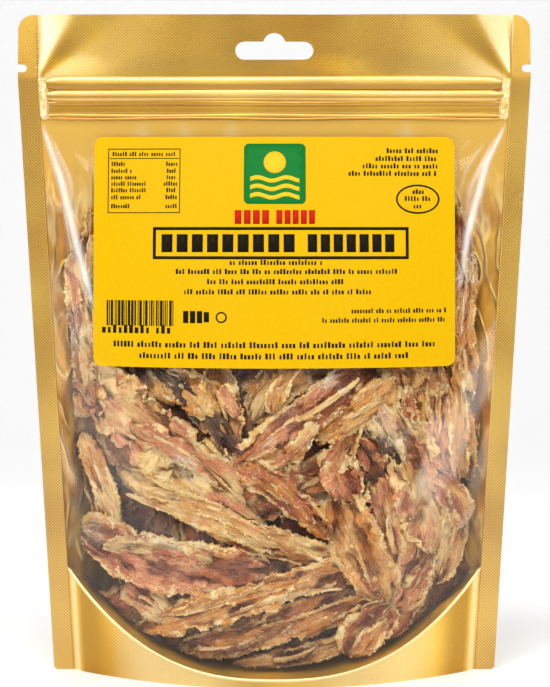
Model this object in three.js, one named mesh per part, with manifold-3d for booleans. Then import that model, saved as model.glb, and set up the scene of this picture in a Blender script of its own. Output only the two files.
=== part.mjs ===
// A stand-up pouch of dried stockfish fillets, sealed and filled, standing on its round bottom gusset.
// Millimetres, +Z up, the clear front towards -Y, the origin on the floor under the middle of the pouch.
import * as THREE from "three";
import { mergeVertices } from "three/addons/utils/BufferGeometryUtils.js";
import Module from "manifold-3d";

// Driving dimensions of the pouch.
const pouchWidth = 210;
const pouchHeight = 270;
const floorWidth = 182.4; // between the bottom corners, which the opened gusset draws in
const sealWidth = 8;
const sealThickness = 0.8;
const cornerRadius = 6.3;
const footRadius = 1.5;
const frontDepth = 40; // from the seal's mid-plane to the heap behind the clear front, at the floor
const backDepth = 43; // from the mid-plane to the gold back
const bellyTaper = 2.5; // how late the depth falls away towards the zip
const rimSkin = 0.1; // half the bulge's thickness where it meets the seals

// The weld of the bottom gusset: a band along the floor that climbs to the side seals in a bow.
const weldFloor = 3.3; // its height in the middle
const weldClimb = 55; // how much higher it ends at the seals
const weldBow = 2.65;
const weldThickness = 0.7;
const gussetSag = 7; // how far the gusset's film hangs below the bow under the weight of the fish
const pocketInset = 3; // from the side seal to the end of the open pocket under the gusset
const pocketDrop = 1; // the pocket's cut starts this far below the floor

// The press zip: ribs across the pouch, front and back.
const zipBase = 227;
const zipTop = 244;
const zipRibs = [
  { name: "upper bead", z: 241.6, height: 4.6, rise: 1.5 },
  { name: "lower bead", z: 236.7, height: 4.4, rise: 1.7 },
  { name: "bead's edge", z: 233.2, height: 1.8, rise: 0.9 },
  { name: "flange weld", z: 228.2, height: 2.0, rise: 0.9 },
];

// The hang slot and the tear notches in the header.
const slotLength = 32;
const slotHeight = 7.4;
const slotFloor = 251.5;
const slotBumpRadius = 4.6;
const slotBumpRise = 2.6; // of the bump's centre over the slot's middle
const notchDepth = 3.7;
const notchHeight = 3.3;
const notchZ = 248;

// The label on the clear front.
const labelWidth = 147;
const labelHeight = 93.2;
const labelFoot = 126.7;
const labelCorner = 4;
const labelThickness = 0.5;

const airGap = 0.35; // between the solids, which touch in the real pouch
const cutReach = 4 * backDepth; // long enough to cut through front and back

// The fillets that show through the front: the middle of each on the front, its length, width and lean from
// level, in millimetres and degrees, and how far it stands out of the heap.
const fillets = [
  { x: -43, z: 98, length: 92, width: 32, lean: -34, rise: 3.2 },
  { x: -20, z: 100, length: 64, width: 15, lean: -45, rise: 2.4 },
  { x: -22, z: 114, length: 42, width: 24, lean: -30, rise: 2.2 },
  { x: 16, z: 104, length: 78, width: 25, lean: 29, rise: 3.2 },
  { x: 34, z: 91, length: 42, width: 28, lean: -60, rise: 2.6 },
  { x: 51, z: 72, length: 88, width: 40, lean: -72, rise: 3.2 },
  { x: 69, z: 100, length: 58, width: 19, lean: -80, rise: 2.4 },
  { x: 78, z: 134, length: 54, width: 16, lean: 84, rise: 2.2 },
  { x: 79, z: 167, length: 48, width: 14, lean: -88, rise: 2.0 },
  { x: -78, z: 174, length: 42, width: 13, lean: 87, rise: 2.0 },
  { x: -79, z: 150, length: 48, width: 16, lean: -80, rise: 2.2 },
  { x: -76, z: 122, length: 46, width: 17, lean: -80, rise: 2.2 },
  { x: -70, z: 77, length: 60, width: 20, lean: -75, rise: 2.6 },
  { x: -24, z: 67, length: 90, width: 20, lean: -24, rise: 3.2 },
  { x: 4, z: 76, length: 54, width: 24, lean: -35, rise: 2.4 },
  { x: -41, z: 47, length: 76, width: 25, lean: -9, rise: 3.0 },
  { x: 12, z: 52, length: 44, width: 18, lean: -20, rise: 2.0 },
  { x: -10, z: 35, length: 94, width: 19, lean: 18, rise: 3.2 },
  { x: 4, z: 22, length: 82, width: 19, lean: 15, rise: 2.8 },
  { x: 35, z: 24, length: 36, width: 20, lean: 40, rise: 2.4 },
  { x: 56, z: 36, length: 40, width: 18, lean: 62, rise: 2.4 },
  { x: 69, z: 55, length: 46, width: 19, lean: 75, rise: 2.2 },
  { x: -50, z: 31, length: 36, width: 18, lean: -25, rise: 2.2 },
];
const filletSides = 12; // around a fillet
const filletRings = 10; // from tip to tip
const raggedAround = 0.13; // how uneven a fillet's edge is around it, as a share of its width
const raggedAlong = 0.1; // and along it
const tipDraw = 0.25; // how much narrower than the middle its drawn-out end is

// How finely the pouch's bulge and the label are faceted.
const bulgeColumns = 24;
const bulgeRows = 24;
const labelColumns = 20;
const labelRows = 6;
const bowPoints = 24; // along each half of the weld's bow
const arcPoints = 8; // along each round corner

const wasm = await Module();
wasm.setup();

// A closed three.js geometry as a solid that can be joined and cut.
function solidOf(geometry) {
  const bare = geometry.clone();
  bare.deleteAttribute("normal");
  bare.deleteAttribute("uv");
  const merged = mergeVertices(bare, 1e-4);
  return new wasm.Manifold(
    new wasm.Mesh({
      numProp: 3,
      vertProperties: merged.attributes.position.array,
      triVerts: new Uint32Array(merged.index.array),
    }),
  );
}

// A solid back as a flat-shaded geometry.
function geometryOf(solid) {
  const { vertProperties, triVerts } = solid.getMesh();
  const indexed = new THREE.BufferGeometry();
  indexed.setAttribute("position", new THREE.BufferAttribute(vertProperties, 3));
  indexed.setIndex(new THREE.BufferAttribute(triVerts, 1));
  const flat = indexed.toNonIndexed();
  flat.computeVertexNormals();
  return flat;
}

function namedMesh(name, solid, material) {
  const mesh = new THREE.Mesh(geometryOf(solid), material);
  mesh.name = name;
  return mesh;
}

// Half the pouch's outer width: it narrows evenly from the zip to the floor.
function halfWidthAt(z) {
  const up = Math.min(z / zipTop, 1);
  return THREE.MathUtils.lerp(floorWidth, pouchWidth, up) / 2;
}

// How far a side stands out of the mid-plane at x and z, between the side seals and under the zip.
function bulgeAt(x, z, depth = frontDepth) {
  const across = x / (halfWidthAt(z) - sealWidth);
  const up = THREE.MathUtils.clamp(z / zipBase, 0, 1);
  return depth * (1 - Math.pow(up, bellyTaper)) * Math.max(0, 1 - across * across);
}

// A closed lens between the front and the back, from the floor, or a drop below it, to the zip, grown
// outwards by a margin.
function bulgeSolid(margin, drop = 0) {
  const skin = rimSkin + margin;
  const side = (across, up, towards) => {
    const z = THREE.MathUtils.lerp(-drop, zipBase, up);
    const x = across * (halfWidthAt(z) - sealWidth);
    return [x, towards * (skin + bulgeAt(x, z, towards < 0 ? frontDepth : backDepth)), z];
  };
  const positions = [];
  const addQuad = (a, b, c, d) => positions.push(...a, ...b, ...c, ...a, ...c, ...d);
  for (let row = 0; row < bulgeRows; row++) {
    const low = row / bulgeRows;
    const high = (row + 1) / bulgeRows;
    for (let column = 0; column < bulgeColumns; column++) {
      const left = (2 * column) / bulgeColumns - 1;
      const right = (2 * (column + 1)) / bulgeColumns - 1;
      addQuad(side(left, low, -1), side(right, low, -1), side(right, high, -1), side(left, high, -1));
      addQuad(side(right, low, 1), side(left, low, 1), side(left, high, 1), side(right, high, 1));
      if (row === 0) {
        addQuad(side(left, 0, 1), side(right, 0, 1), side(right, 0, -1), side(left, 0, -1));
      }
      if (row === bulgeRows - 1) {
        addQuad(side(left, 1, -1), side(right, 1, -1), side(right, 1, 1), side(left, 1, 1));
      }
    }
    for (const rim of [-1, 1]) {
      addQuad(side(rim, low, -rim), side(rim, low, rim), side(rim, high, rim), side(rim, high, -rim));
    }
  }
  const geometry = new THREE.BufferGeometry();
  geometry.setAttribute("position", new THREE.Float32BufferAttribute(positions, 3));
  return solidOf(geometry);
}

// A flat outline, drawn in x and z, as a solid of some thickness centred on the mid-plane.
function plateSolid(outline, thickness) {
  const geometry = new THREE.ExtrudeGeometry(outline, {
    depth: thickness,
    bevelEnabled: false,
    curveSegments: arcPoints,
  });
  geometry.rotateX(Math.PI / 2);
  geometry.translate(0, thickness / 2, 0);
  return solidOf(geometry);
}

// The pouch laid flat: tapered sides, rounded top corners, a tear notch in each side and the hang slot.
function pouchOutline() {
  const half = pouchWidth / 2;
  const foot = floorWidth / 2;
  const notchRadius = notchHeight / 2;
  const notchEnd = half - notchDepth + notchRadius;
  const outline = new THREE.Shape();
  outline.moveTo(-foot + footRadius, 0);
  outline.lineTo(foot - footRadius, 0);
  outline.quadraticCurveTo(foot, 0, halfWidthAt(footRadius), footRadius);
  outline.lineTo(half, zipTop);
  outline.lineTo(half, notchZ - notchRadius);
  outline.lineTo(notchEnd, notchZ - notchRadius);
  outline.absarc(notchEnd, notchZ, notchRadius, -Math.PI / 2, Math.PI / 2, true);
  outline.lineTo(half, notchZ + notchRadius);
  outline.absarc(half - cornerRadius, pouchHeight - cornerRadius, cornerRadius, 0, Math.PI / 2, false);
  outline.absarc(cornerRadius - half, pouchHeight - cornerRadius, cornerRadius, Math.PI / 2, Math.PI, false);
  outline.lineTo(-half, notchZ + notchRadius);
  outline.lineTo(-notchEnd, notchZ + notchRadius);
  outline.absarc(-notchEnd, notchZ, notchRadius, Math.PI / 2, -Math.PI / 2, true);
  outline.lineTo(-half, notchZ - notchRadius);
  outline.lineTo(-half, zipTop);
  outline.lineTo(-halfWidthAt(footRadius), footRadius);
  outline.quadraticCurveTo(-foot, 0, -foot + footRadius, 0);
  outline.holes.push(slotOutline());
  return outline;
}

// A long slot with round ends and a round bump in the middle of its upper edge.
function slotOutline() {
  const endRadius = slotHeight / 2;
  const middle = slotFloor + endRadius;
  const end = slotLength / 2 - endRadius;
  const bumpFoot = Math.asin((endRadius - slotBumpRise) / slotBumpRadius);
  const slot = new THREE.Path();
  slot.moveTo(-end, middle - endRadius);
  slot.lineTo(end, middle - endRadius);
  slot.absarc(end, middle, endRadius, -Math.PI / 2, Math.PI / 2, false);
  slot.absarc(0, middle + slotBumpRise, slotBumpRadius, bumpFoot, Math.PI - bumpFoot, false);
  slot.absarc(-end, middle, endRadius, Math.PI / 2, (3 * Math.PI) / 2, false);
  return slot;
}

// A rib of the zip: a flat oval bar from seal to seal.
function zipRibSolid({ z, height, rise }) {
  const length = 2 * (halfWidthAt(z) - sealWidth);
  const section = new THREE.Shape();
  section.absellipse(0, 0, height / 2, sealThickness / 2 + rise, 0, 2 * Math.PI, false, 0);
  const geometry = new THREE.ExtrudeGeometry(section, {
    depth: length,
    bevelEnabled: false,
    curveSegments: arcPoints,
  });
  geometry.rotateY(Math.PI / 2); // the bar lies along x, with the oval's long axis up
  geometry.translate(-length / 2, 0, z);
  return solidOf(geometry);
}

// The height of the weld's bow at a share of the way from the middle to a side seal.
function bowAt(across) {
  return weldFloor + weldClimb * Math.pow(Math.abs(across), weldBow);
}

// The area under the bow of the gusset's weld.
function weldOutline() {
  const half = pouchWidth / 2 - sealWidth;
  const outline = new THREE.Shape();
  outline.moveTo(-half, 0);
  for (let i = bowPoints; i >= -bowPoints; i--) {
    outline.lineTo((-i / bowPoints) * half, bowAt(i / bowPoints));
  }
  outline.lineTo(half, 0);
  return outline;
}

// The open pocket under one end of the gusset, whose film climbs from the floor to the side seal.
function pocketOutline(end) {
  const half = pouchWidth / 2 - sealWidth;
  const stop = (floorWidth / 2 - sealWidth - pocketInset) / half;
  const start = Math.pow((gussetSag - weldFloor) / weldClimb, 1 / weldBow);
  const outline = new THREE.Shape();
  outline.moveTo(end * stop * half, -2 * pocketDrop);
  for (let i = 0; i <= bowPoints; i++) {
    const across = THREE.MathUtils.lerp(stop, start, i / bowPoints);
    outline.lineTo(end * across * half, bowAt(across) - gussetSag);
  }
  outline.lineTo(end * start * half, -2 * pocketDrop);
  return outline;
}

// The band where the front and the back are welded to the gusset, grown outwards by a margin.
function weldSolid(margin) {
  const area = plateSolid(weldOutline(), cutReach);
  return bulgeSolid(weldThickness + margin).intersect(area);
}

// The pouch: welded all round, full between front and back, and hollow under both ends of the gusset.
function pouchSolid() {
  let pouch = plateSolid(pouchOutline(), sealThickness).add(bulgeSolid(0)).add(weldSolid(0));
  const inside = bulgeSolid(-rimSkin / 2, pocketDrop);
  for (const end of [-1, 1]) {
    pouch = pouch.subtract(inside.intersect(plateSolid(pocketOutline(end), cutReach)));
  }
  for (const rib of zipRibs) {
    pouch = pouch.add(zipRibSolid(rib));
  }
  return pouch;
}

// One torn strip of dried fish laid along the front: blunt at one end, drawn out at the other, ragged.
function filletSolid({ x, z, length, width, lean, rise }, index) {
  const geometry = new THREE.SphereGeometry(1, filletSides, filletRings);
  geometry.rotateZ(Math.PI / 2); // the poles become the two tips
  const points = geometry.attributes.position;
  const turn = THREE.MathUtils.degToRad(lean);
  const point = new THREE.Vector3();
  for (let i = 0; i < points.count; i++) {
    point.fromBufferAttribute(points, i);
    const around = Math.atan2(point.z, point.y);
    const wave = raggedAround * Math.sin(3 * around + 7 * point.x + index);
    const ragged = 1 + wave + raggedAlong * Math.sin(9 * point.x + 2 * index);
    const drawn = 1 - tipDraw * point.x;
    const along = (point.x * length) / 2;
    const side = ((Math.cbrt(point.y) + point.y) / 2) * drawn * ragged * (width / 2);
    const out = point.z * rise * drawn;
    const px = x + along * Math.cos(turn) - side * Math.sin(turn);
    const pz = z + along * Math.sin(turn) + side * Math.cos(turn);
    points.setXYZ(i, px, -(bulgeAt(px, pz) + sealThickness / 2 + out), pz);
  }
  return solidOf(geometry);
}

// The heap behind the clear front: every fillet that shows, fused, and cut back to the front of the pouch.
function filletsSolid() {
  const heap = fillets.map(filletSolid).reduce((joined, fillet) => joined.add(fillet));
  const labelRoom = plateSolid(labelOutline(airGap), cutReach);
  const seen = heap.subtract(bulgeSolid(airGap)).subtract(weldSolid(airGap)).subtract(labelRoom);
  const pieces = seen.decompose();
  return pieces.reduce((largest, piece) => (piece.volume() > largest.volume() ? piece : largest));
}

// The label's rounded outline on the front, grown by a margin.
function labelOutline(margin) {
  const half = labelWidth / 2 + margin;
  const low = labelFoot - margin;
  const high = labelFoot + labelHeight + margin;
  const radius = labelCorner + margin;
  const outline = new THREE.Shape();
  outline.moveTo(radius - half, low);
  outline.absarc(half - radius, low + radius, radius, -Math.PI / 2, 0, false);
  outline.absarc(half - radius, high - radius, radius, 0, Math.PI / 2, false);
  outline.absarc(radius - half, high - radius, radius, Math.PI / 2, Math.PI, false);
  outline.absarc(radius - half, low + radius, radius, Math.PI, (3 * Math.PI) / 2, false);
  return outline;
}

// The label: a thin sheet that follows the front, cut to its rounded outline.
function labelSolid() {
  const spare = 2 * airGap; // cut away with the corners
  const sheet = new THREE.BoxGeometry(
    labelWidth + spare, 1, labelHeight + spare, labelColumns, 1, labelRows,
  );
  sheet.translate(0, 0, labelFoot + labelHeight / 2);
  const points = sheet.attributes.position;
  for (let i = 0; i < points.count; i++) {
    const x = points.getX(i);
    const z = points.getZ(i);
    const lift = airGap + (points.getY(i) < 0 ? labelThickness : 0);
    points.setY(i, -(bulgeAt(x, z) + sealThickness / 2 + lift));
  }
  return solidOf(sheet).intersect(plateSolid(labelOutline(0), cutReach));
}

const goldFilm = new THREE.MeshStandardMaterial({ color: 0xd2a63c, metalness: 0.85, roughness: 0.35 });
const driedFish = new THREE.MeshStandardMaterial({ color: 0xb98a5a, metalness: 0, roughness: 0.7 });
const labelPaper = new THREE.MeshStandardMaterial({ color: 0xfcc805, metalness: 0, roughness: 0.45 });

const pack = new THREE.Group();
pack.name = "stockfish_pouch";
pack.add(namedMesh("pouch", pouchSolid(), goldFilm));
pack.add(namedMesh("fillets", filletsSolid(), driedFish));
pack.add(namedMesh("label", labelSolid(), labelPaper));

export default pack;
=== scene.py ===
# Stand-up pouch of dried stockfish fillets: gold back and seals, clear front, label, press zip, gusset
import math
import random

import bmesh
import bpy
import numpy as np
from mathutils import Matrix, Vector
from mathutils.geometry import delaunay_2d_cdt


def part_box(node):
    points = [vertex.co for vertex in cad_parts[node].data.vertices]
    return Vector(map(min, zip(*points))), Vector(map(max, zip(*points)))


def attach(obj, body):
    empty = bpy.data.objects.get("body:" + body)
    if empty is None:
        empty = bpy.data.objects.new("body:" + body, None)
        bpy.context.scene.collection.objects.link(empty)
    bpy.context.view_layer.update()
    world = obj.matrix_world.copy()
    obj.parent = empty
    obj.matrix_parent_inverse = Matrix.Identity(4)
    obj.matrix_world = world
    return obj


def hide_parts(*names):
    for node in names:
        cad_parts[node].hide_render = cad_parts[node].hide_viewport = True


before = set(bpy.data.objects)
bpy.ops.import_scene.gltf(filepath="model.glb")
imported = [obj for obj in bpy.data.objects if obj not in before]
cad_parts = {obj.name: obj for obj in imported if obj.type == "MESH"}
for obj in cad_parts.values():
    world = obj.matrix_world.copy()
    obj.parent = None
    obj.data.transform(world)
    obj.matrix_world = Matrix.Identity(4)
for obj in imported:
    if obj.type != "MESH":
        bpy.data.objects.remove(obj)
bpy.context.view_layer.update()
print("frame loaded:", sorted(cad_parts))


# node trees

class Field:  # a socket of a node tree that takes part in sums
    def __init__(self, tree, socket):
        self.tree = tree
        self.socket = socket

    def math(self, operation, *others):
        node = self.tree.nodes.new("ShaderNodeMath")
        node.operation = operation
        for target, value in zip(node.inputs, (self, *others)):
            plug(self.tree, value, target)
        return Field(self.tree, node.outputs[0])

    def __add__(self, other):
        return self.math("ADD", other)

    def __sub__(self, other):
        return self.math("SUBTRACT", other)

    def __rsub__(self, other):
        return self.math("MULTIPLY_ADD", -1.0, other)

    def __mul__(self, other):
        return self.math("MULTIPLY", other)

    def __truediv__(self, other):
        return self.math("DIVIDE", other)

    def __pow__(self, other):
        return self.math("POWER", other)

    def __neg__(self):
        return self * -1.0

    def __abs__(self):
        return self.math("ABSOLUTE")

    __radd__ = __add__
    __rmul__ = __mul__

    def clamp(self):
        return self.math("MAXIMUM", 0.0).math("MINIMUM", 1.0)

    def step(self, low, high):  # 0 below low, 1 above high, eased between
        node = self.tree.nodes.new("ShaderNodeMapRange")
        node.interpolation_type = "SMOOTHSTEP"
        for target, value in zip(node.inputs, (self, low, high, 0.0, 1.0)):
            plug(self.tree, value, target)
        return Field(self.tree, node.outputs[0])

    def line(self, middle, sharp):  # 1 where the value is middle, 0 a little away from it
        return 1.0 - abs((self - middle) * sharp).math("MINIMUM", 1.0)


def plug(tree, value, target):  # a field or socket is linked, anything else is set on the socket
    if isinstance(value, Field):
        value = value.socket
    if isinstance(value, bpy.types.NodeSocket):
        tree.links.new(value, target)
    else:
        target.default_value = value


def addNode(tree, kind, inputs, **settings):
    node = tree.nodes.new(kind)
    for name, value in settings.items():
        setattr(node, name, value)
    for name, value in inputs.items():
        plug(tree, value, node.inputs[name])
    return node


def joinXyz(tree, x, y, z):
    return addNode(tree, "ShaderNodeCombineXYZ", {"X": x, "Y": y, "Z": z}).outputs[0]


def splitXyz(tree, vector):
    node = addNode(tree, "ShaderNodeSeparateXYZ", {"Vector": vector})
    return [Field(tree, socket) for socket in node.outputs]


def noiseField(tree, vector, scale, detail=2.0, rough=0.5):
    inputs = {"Vector": vector, "Scale": scale, "Detail": detail, "Roughness": rough}
    return Field(tree, addNode(tree, "ShaderNodeTexNoise", inputs).outputs["Fac"])


def mixColour(tree, share, first, second, blend="MIX"):
    inputs = {0: share, 6: first, 7: second}  # the node's sockets for colours
    return addNode(tree, "ShaderNodeMix", inputs, data_type="RGBA", blend_type=blend).outputs[2]


def newTree(name, inputs):  # a geometry tree with named inputs, and the sockets they come in by
    tree = bpy.data.node_groups.new(name, "GeometryNodeTree")
    for title, (kind, value) in inputs.items():
        socket = tree.interface.new_socket(name=title, in_out="INPUT", socket_type="NodeSocket" + kind)
        if value is not None:
            socket.default_value = value
    tree.interface.new_socket(name="Geometry", in_out="OUTPUT", socket_type="NodeSocketGeometry")
    return tree, tree.nodes.new("NodeGroupInput").outputs


def closeTree(tree, geometry, finish):  # every tree ends in real geometry with its material
    rounded = addNode(tree, "GeometryNodeSetShadeSmooth", {"Geometry": geometry})
    real = addNode(tree, "GeometryNodeRealizeInstances", {"Geometry": rounded.outputs[0]})
    dressed = addNode(tree, "GeometryNodeSetMaterial", {"Geometry": real.outputs[0], "Material": finish})
    output = tree.nodes.new("NodeGroupOutput")
    tree.links.new(dressed.outputs[0], output.inputs[0])
    return tree


def holdTree(tree, values, base=None):  # an object that carries the tree, with its inputs set
    holder = bpy.data.objects.new(tree.name, base or bpy.data.meshes.new(tree.name))
    bpy.context.collection.objects.link(holder)
    modifier = holder.modifiers.new(tree.name, "NODES")
    modifier.node_group = tree
    for item in tree.interface.items_tree:
        if item.in_out == "INPUT" and item.name in values:
            modifier[item.identifier] = values[item.name]
    return holder


def bakeHolders(holders):  # the results as plain meshes; the holders and their modifiers go
    graph = bpy.context.evaluated_depsgraph_get()
    meshes = [bpy.data.meshes.new_from_object(holder.evaluated_get(graph)) for holder in holders]
    for holder in holders:
        bpy.data.objects.remove(holder)
    return meshes


# meshes and pieces

def meshFrom(name, points, faces, edges=()):
    mesh = bpy.data.meshes.new(name)
    mesh.from_pydata([tuple(map(float, p)) for p in points], edges, faces)
    mesh.validate()
    return mesh


def readData(data, field, size):  # so many numbers for each item, in one row
    values = np.empty(len(data) * size, np.float32)
    data.foreach_get(field, values)
    return values


def pointsOf(mesh):
    return readData(mesh.vertices, "co", 3).reshape(-1, 3).astype(float)


def movePoints(mesh, points):
    mesh.vertices.foreach_set("co", points.ravel())
    mesh.update()
    return mesh


def markPoints(mesh, name, values):
    mesh.attributes.new(name, "FLOAT", "POINT").data.foreach_set("value", values)
    return mesh


def joinMeshes(name, meshes, marks=()):  # one mesh of many, with their marks
    points, faces, count = [], [], 0
    for mesh in meshes:
        points.append(pointsOf(mesh))
        faces += [tuple(v + count for v in polygon.vertices) for polygon in mesh.polygons]
        count += len(mesh.vertices)
    joined = meshFrom(name, np.concatenate(points), faces)
    for mark, kind, field, size in marks:
        values = [readData(mesh.attributes[mark].data, field, size) for mesh in meshes]
        joined.attributes.new(mark, kind, "POINT").data.foreach_set(field, np.concatenate(values))
    for mesh in meshes:
        bpy.data.meshes.remove(mesh)
    return joined


def gridOver(columns, rows, place):  # a grid of u from -1 to 1 and t from 0 to 1
    u, t = np.meshgrid(np.linspace(-1, 1, columns + 1), np.linspace(0, 1, rows + 1))
    wide = columns + 1
    corners = [r * wide + c for r in range(rows) for c in range(columns)]
    faces = [(i, i + 1, i + wide + 1, i + wide) for i in corners]
    return np.stack(place(u.ravel(), t.ravel()), axis=1), faces


def flip(faces):
    return [face[::-1] for face in faces]


def thicken(mesh, thickness, offset=-1.0):  # a sheet becomes a closed shell
    holder = bpy.data.objects.new("sheet", mesh)
    bpy.context.collection.objects.link(holder)
    wall = holder.modifiers.new("wall", "SOLIDIFY")
    wall.thickness = thickness
    wall.offset = offset
    wall.use_even_offset = False
    shell = bakeHolders([holder])[0]
    shell.set_sharp_from_angle(angle=math.radians(50))  # a cut rim stays crisp
    return shell


def addPiece(name, mesh, material, node, rounded=True):
    mesh.name = name
    mesh.materials.clear()
    mesh.materials.append(material)
    mesh.polygons.foreach_set("use_smooth", [rounded] * len(mesh.polygons))
    piece = bpy.data.objects.new(name, mesh)
    bpy.context.collection.objects.link(piece)
    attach(piece, "root")
    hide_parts(node)
    print("piece", name, len(mesh.polygons), "faces")
    return piece


def inside(loop, x, z):  # which points lie in a closed loop
    hit = np.zeros(len(x), bool)
    for (x0, z0), (x1, z1) in zip(loop, loop[1:] + loop[:1]):
        if z0 != z1:
            crossing = (z0 > z) != (z1 > z)
            hit ^= crossing & (x < (x1 - x0) * (z - z0) / (z1 - z0) + x0)
    return hit


def onSheet(loops, x, z):  # in the first loop and in none of the others
    hit = inside(loops[0], x, z)
    for hole in loops[1:]:
        hit &= ~inside(hole, x, z)
    return hit


def finer(loop, pitch):  # a loop with its long edges split
    points = []
    for (x0, z0), (x1, z1) in zip(loop, loop[1:] + loop[:1]):
        count = max(1, round(math.hypot(x1 - x0, z1 - z0) / pitch))
        points += [(x0 + (x1 - x0) * i / count, z0 + (z1 - z0) * i / count) for i in range(count)]
    return points


def arc(x, z, radius, start, stop, count=8):  # degrees
    angles = np.radians(np.linspace(start, stop, count + 1))
    return [(x + radius * math.cos(a), z + radius * math.sin(a)) for a in angles]


def cutSheet(loops, pitch, place):  # a sheet cut to the first loop, with the others as holes
    loops = [finer(loop, pitch) for loop in loops]
    points = [p for loop in loops for p in loop]
    edges = []
    for loop in loops:
        start = len(edges)
        edges += [(start + i, start + (i + 1) % len(loop)) for i in range(len(loop))]
    low, high = np.min(loops[0], axis=0), np.max(loops[0], axis=0)
    rowStep = pitch * 0.87  # every other row is shifted, which makes the triangles nearly even
    gx, gz = np.meshgrid(np.arange(low[0], high[0], pitch), np.arange(low[1], high[1], rowStep))
    gx = gx + np.where(np.arange(len(gx)) % 2, pitch / 2, 0)[:, None]
    gx, gz = gx.ravel(), gz.ravel()
    kept = onSheet(loops, gx, gz)
    rim = np.array(points)
    clear = pitch * 0.55  # no point of the grid is nearer to the rim
    spots = [(x, z) for x, z in zip(gx[kept], gz[kept]) if np.min(np.hypot(*(rim - (x, z)).T)) > clear]
    flat, _, faces, _, _, _ = delaunay_2d_cdt([Vector(p) for p in points + spots], edges, [], 0, 1e-9)
    flat = np.array([tuple(p) for p in flat])
    middle = np.array([flat[list(face)].mean(axis=0) for face in faces])
    kept = onSheet(loops, middle[:, 0], middle[:, 1])
    faces = [tuple(face) for face, keep in zip(faces, kept) if keep]
    return np.stack(place(flat[:, 0], flat[:, 1]), axis=1), faces


# the pouch's form, in metres: x across, z up, the front towards -y

pouchLow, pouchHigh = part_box("pouch")
pouch = {
    "width": pouchHigh.x - pouchLow.x,
    "height": pouchHigh.z,
    "floorWidth": 0.1824,  # between the bottom corners
    "footCut": 0.0012,
    "sealWidth": 0.008,
    "sealThick": 0.0008,
    "corner": 0.0063,
    "frontDepth": 0.040,
    "backDepth": 0.043,
    "bellyTaper": 2.5,
    "zipFoot": 0.227,
    "zipTop": 0.244,
    "bowFloor": 0.0033,  # the gusset weld's bow
    "bowClimb": 0.055,
    "bowPower": 2.65,
    "weldHeight": 0.02,  # roughly, where the weld's width is taken
    "gussetRise": 0.0035,
    "skirtOut": 0.0008,  # the weld stands this far out of the bulge
}


def smooth(value, low, high):
    t = np.clip((value - low) / (high - low), 0, 1)
    return t * t * (3 - 2 * t)


def halfWidth(z):
    up = np.minimum(z / pouch["zipTop"], 1)
    return (pouch["floorWidth"] + (pouch["width"] - pouch["floorWidth"]) * up) / 2


def sealEdge(z):  # half the room between the side seals
    return halfWidth(z) - pouch["sealWidth"]


def bulge(x, z, depth):
    across = np.clip(x / sealEdge(z), -1, 1)
    up = np.clip(z / pouch["zipFoot"], 0, 1)
    return depth * (1 - up ** pouch["bellyTaper"]) * (1 - across * across)


def bow(x):
    half = pouch["width"] / 2 - pouch["sealWidth"]
    return pouch["bowFloor"] + pouch["bowClimb"] * np.abs(x / half) ** pouch["bowPower"]


def wallSpot(u, t):  # a place on a wall that runs from the weld up to the zip
    foot = bow(u * sealEdge(pouch["weldHeight"]))
    z = foot + (pouch["zipFoot"] - foot) * t
    return u * sealEdge(z), z


# the clear front: pressed out by the heap below the label, drawn into folds at the zip's ends

film = {
    "thick": 0.00016,
    "stand": 0.0006,
    "heapLift": 0.0014,  # how far the fish press it out
    "heapTop": 0.126,
    "heapFade": 0.050,
    "lump": 0.00020,  # broad waves where it lies on the fish
    "ripple": 0.00003,
    "asideFade": (0.0003, 0.0026),  # how soon it is free of the stiff label
    "belowFade": (0.0005, 0.026),
    "aboveFade": (0.0005, 0.005),
    "footFade": 0.014,  # held in by the weld up to here
    "foldWidth": 0.0009,
    "foldSpread": 0.045,
    "foldPeak": 0.35,  # share of its reach where a fold is highest
    "folds": [  # lean in degrees, reach and height
        (8, 0.060, 0.0004),
        (16.5, 0.150, 0.0017),
        (29, 0.060, 0.0005),
        (42, 0.045, 0.0003),
        (58, 0.040, 0.0003),
        (73, 0.040, 0.0003),
    ],
    # painted white highlights along the folds, for their reflections: end of the zip and strength, then
    # heights, distances from the middle and half widths
    "paintedStreaks": [
        (-1, 0.75,
         (0.140, 0.176, 0.203, 0.227), (0.0705, 0.0808, 0.0874, 0.0958), (0.0007, 0.0016, 0.0016, 0.0005)),
        (-1, 0.35, (0.186, 0.204, 0.222), (0.0800, 0.0840, 0.0925), (0.0008, 0.0010, 0.0006)),
        (1, 0.75, (0.156, 0.180, 0.193, 0.209, 0.227), (0.0755, 0.0790, 0.0824, 0.0868, 0.0956),
         (0.0009, 0.0015, 0.0016, 0.0013, 0.0005)),
        (1, 0.4, (0.184, 0.200, 0.221), (0.0775, 0.0805, 0.0910), (0.0007, 0.0012, 0.0006)),
        (1, 0.3, (0.195, 0.208, 0.220), (0.0750, 0.0790, 0.0880), (0.0006, 0.0010, 0.0006)),
    ],
    "streakStart": (-0.004, 0.024),  # how a mark fades in from its foot, and out below its top
    "streakStop": (0.0, 0.008),
    "clear": (0.985, 0.98, 0.97, 1.0),
    "gloss": (1.0, 0.95, 0.88, 1.0),
    "streakWhite": (0.98, 0.95, 0.90, 1.0),
    "roughness": 0.09,
    "pressed": 0.028,  # less gloss where it is pressed flat, this far under the zip
}

label = {
    "width": 0.1472,
    "height": 0.0932,
    "foot": 0.1267,
    "corner": 0.0036,
    "thick": 0.00018,
    "stand": 0.0002,
    "pitch": 0.0026,
    "ink": 0.00005,
    "inkPitch": 0.003,
    "unitsAcross": 143,  # the print's own measure
    "unitsUp": 92,
}


def besideLabel(x, z):  # 0 where the stiff label holds the film flat, 1 well away from it
    aside = smooth(np.abs(x) - label["width"] / 2, *film["asideFade"])
    below = smooth(label["foot"] - z, *film["belowFade"])
    above = smooth(z - label["foot"] - label["height"], *film["aboveFade"])
    return np.maximum(aside, np.maximum(below, above))


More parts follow.
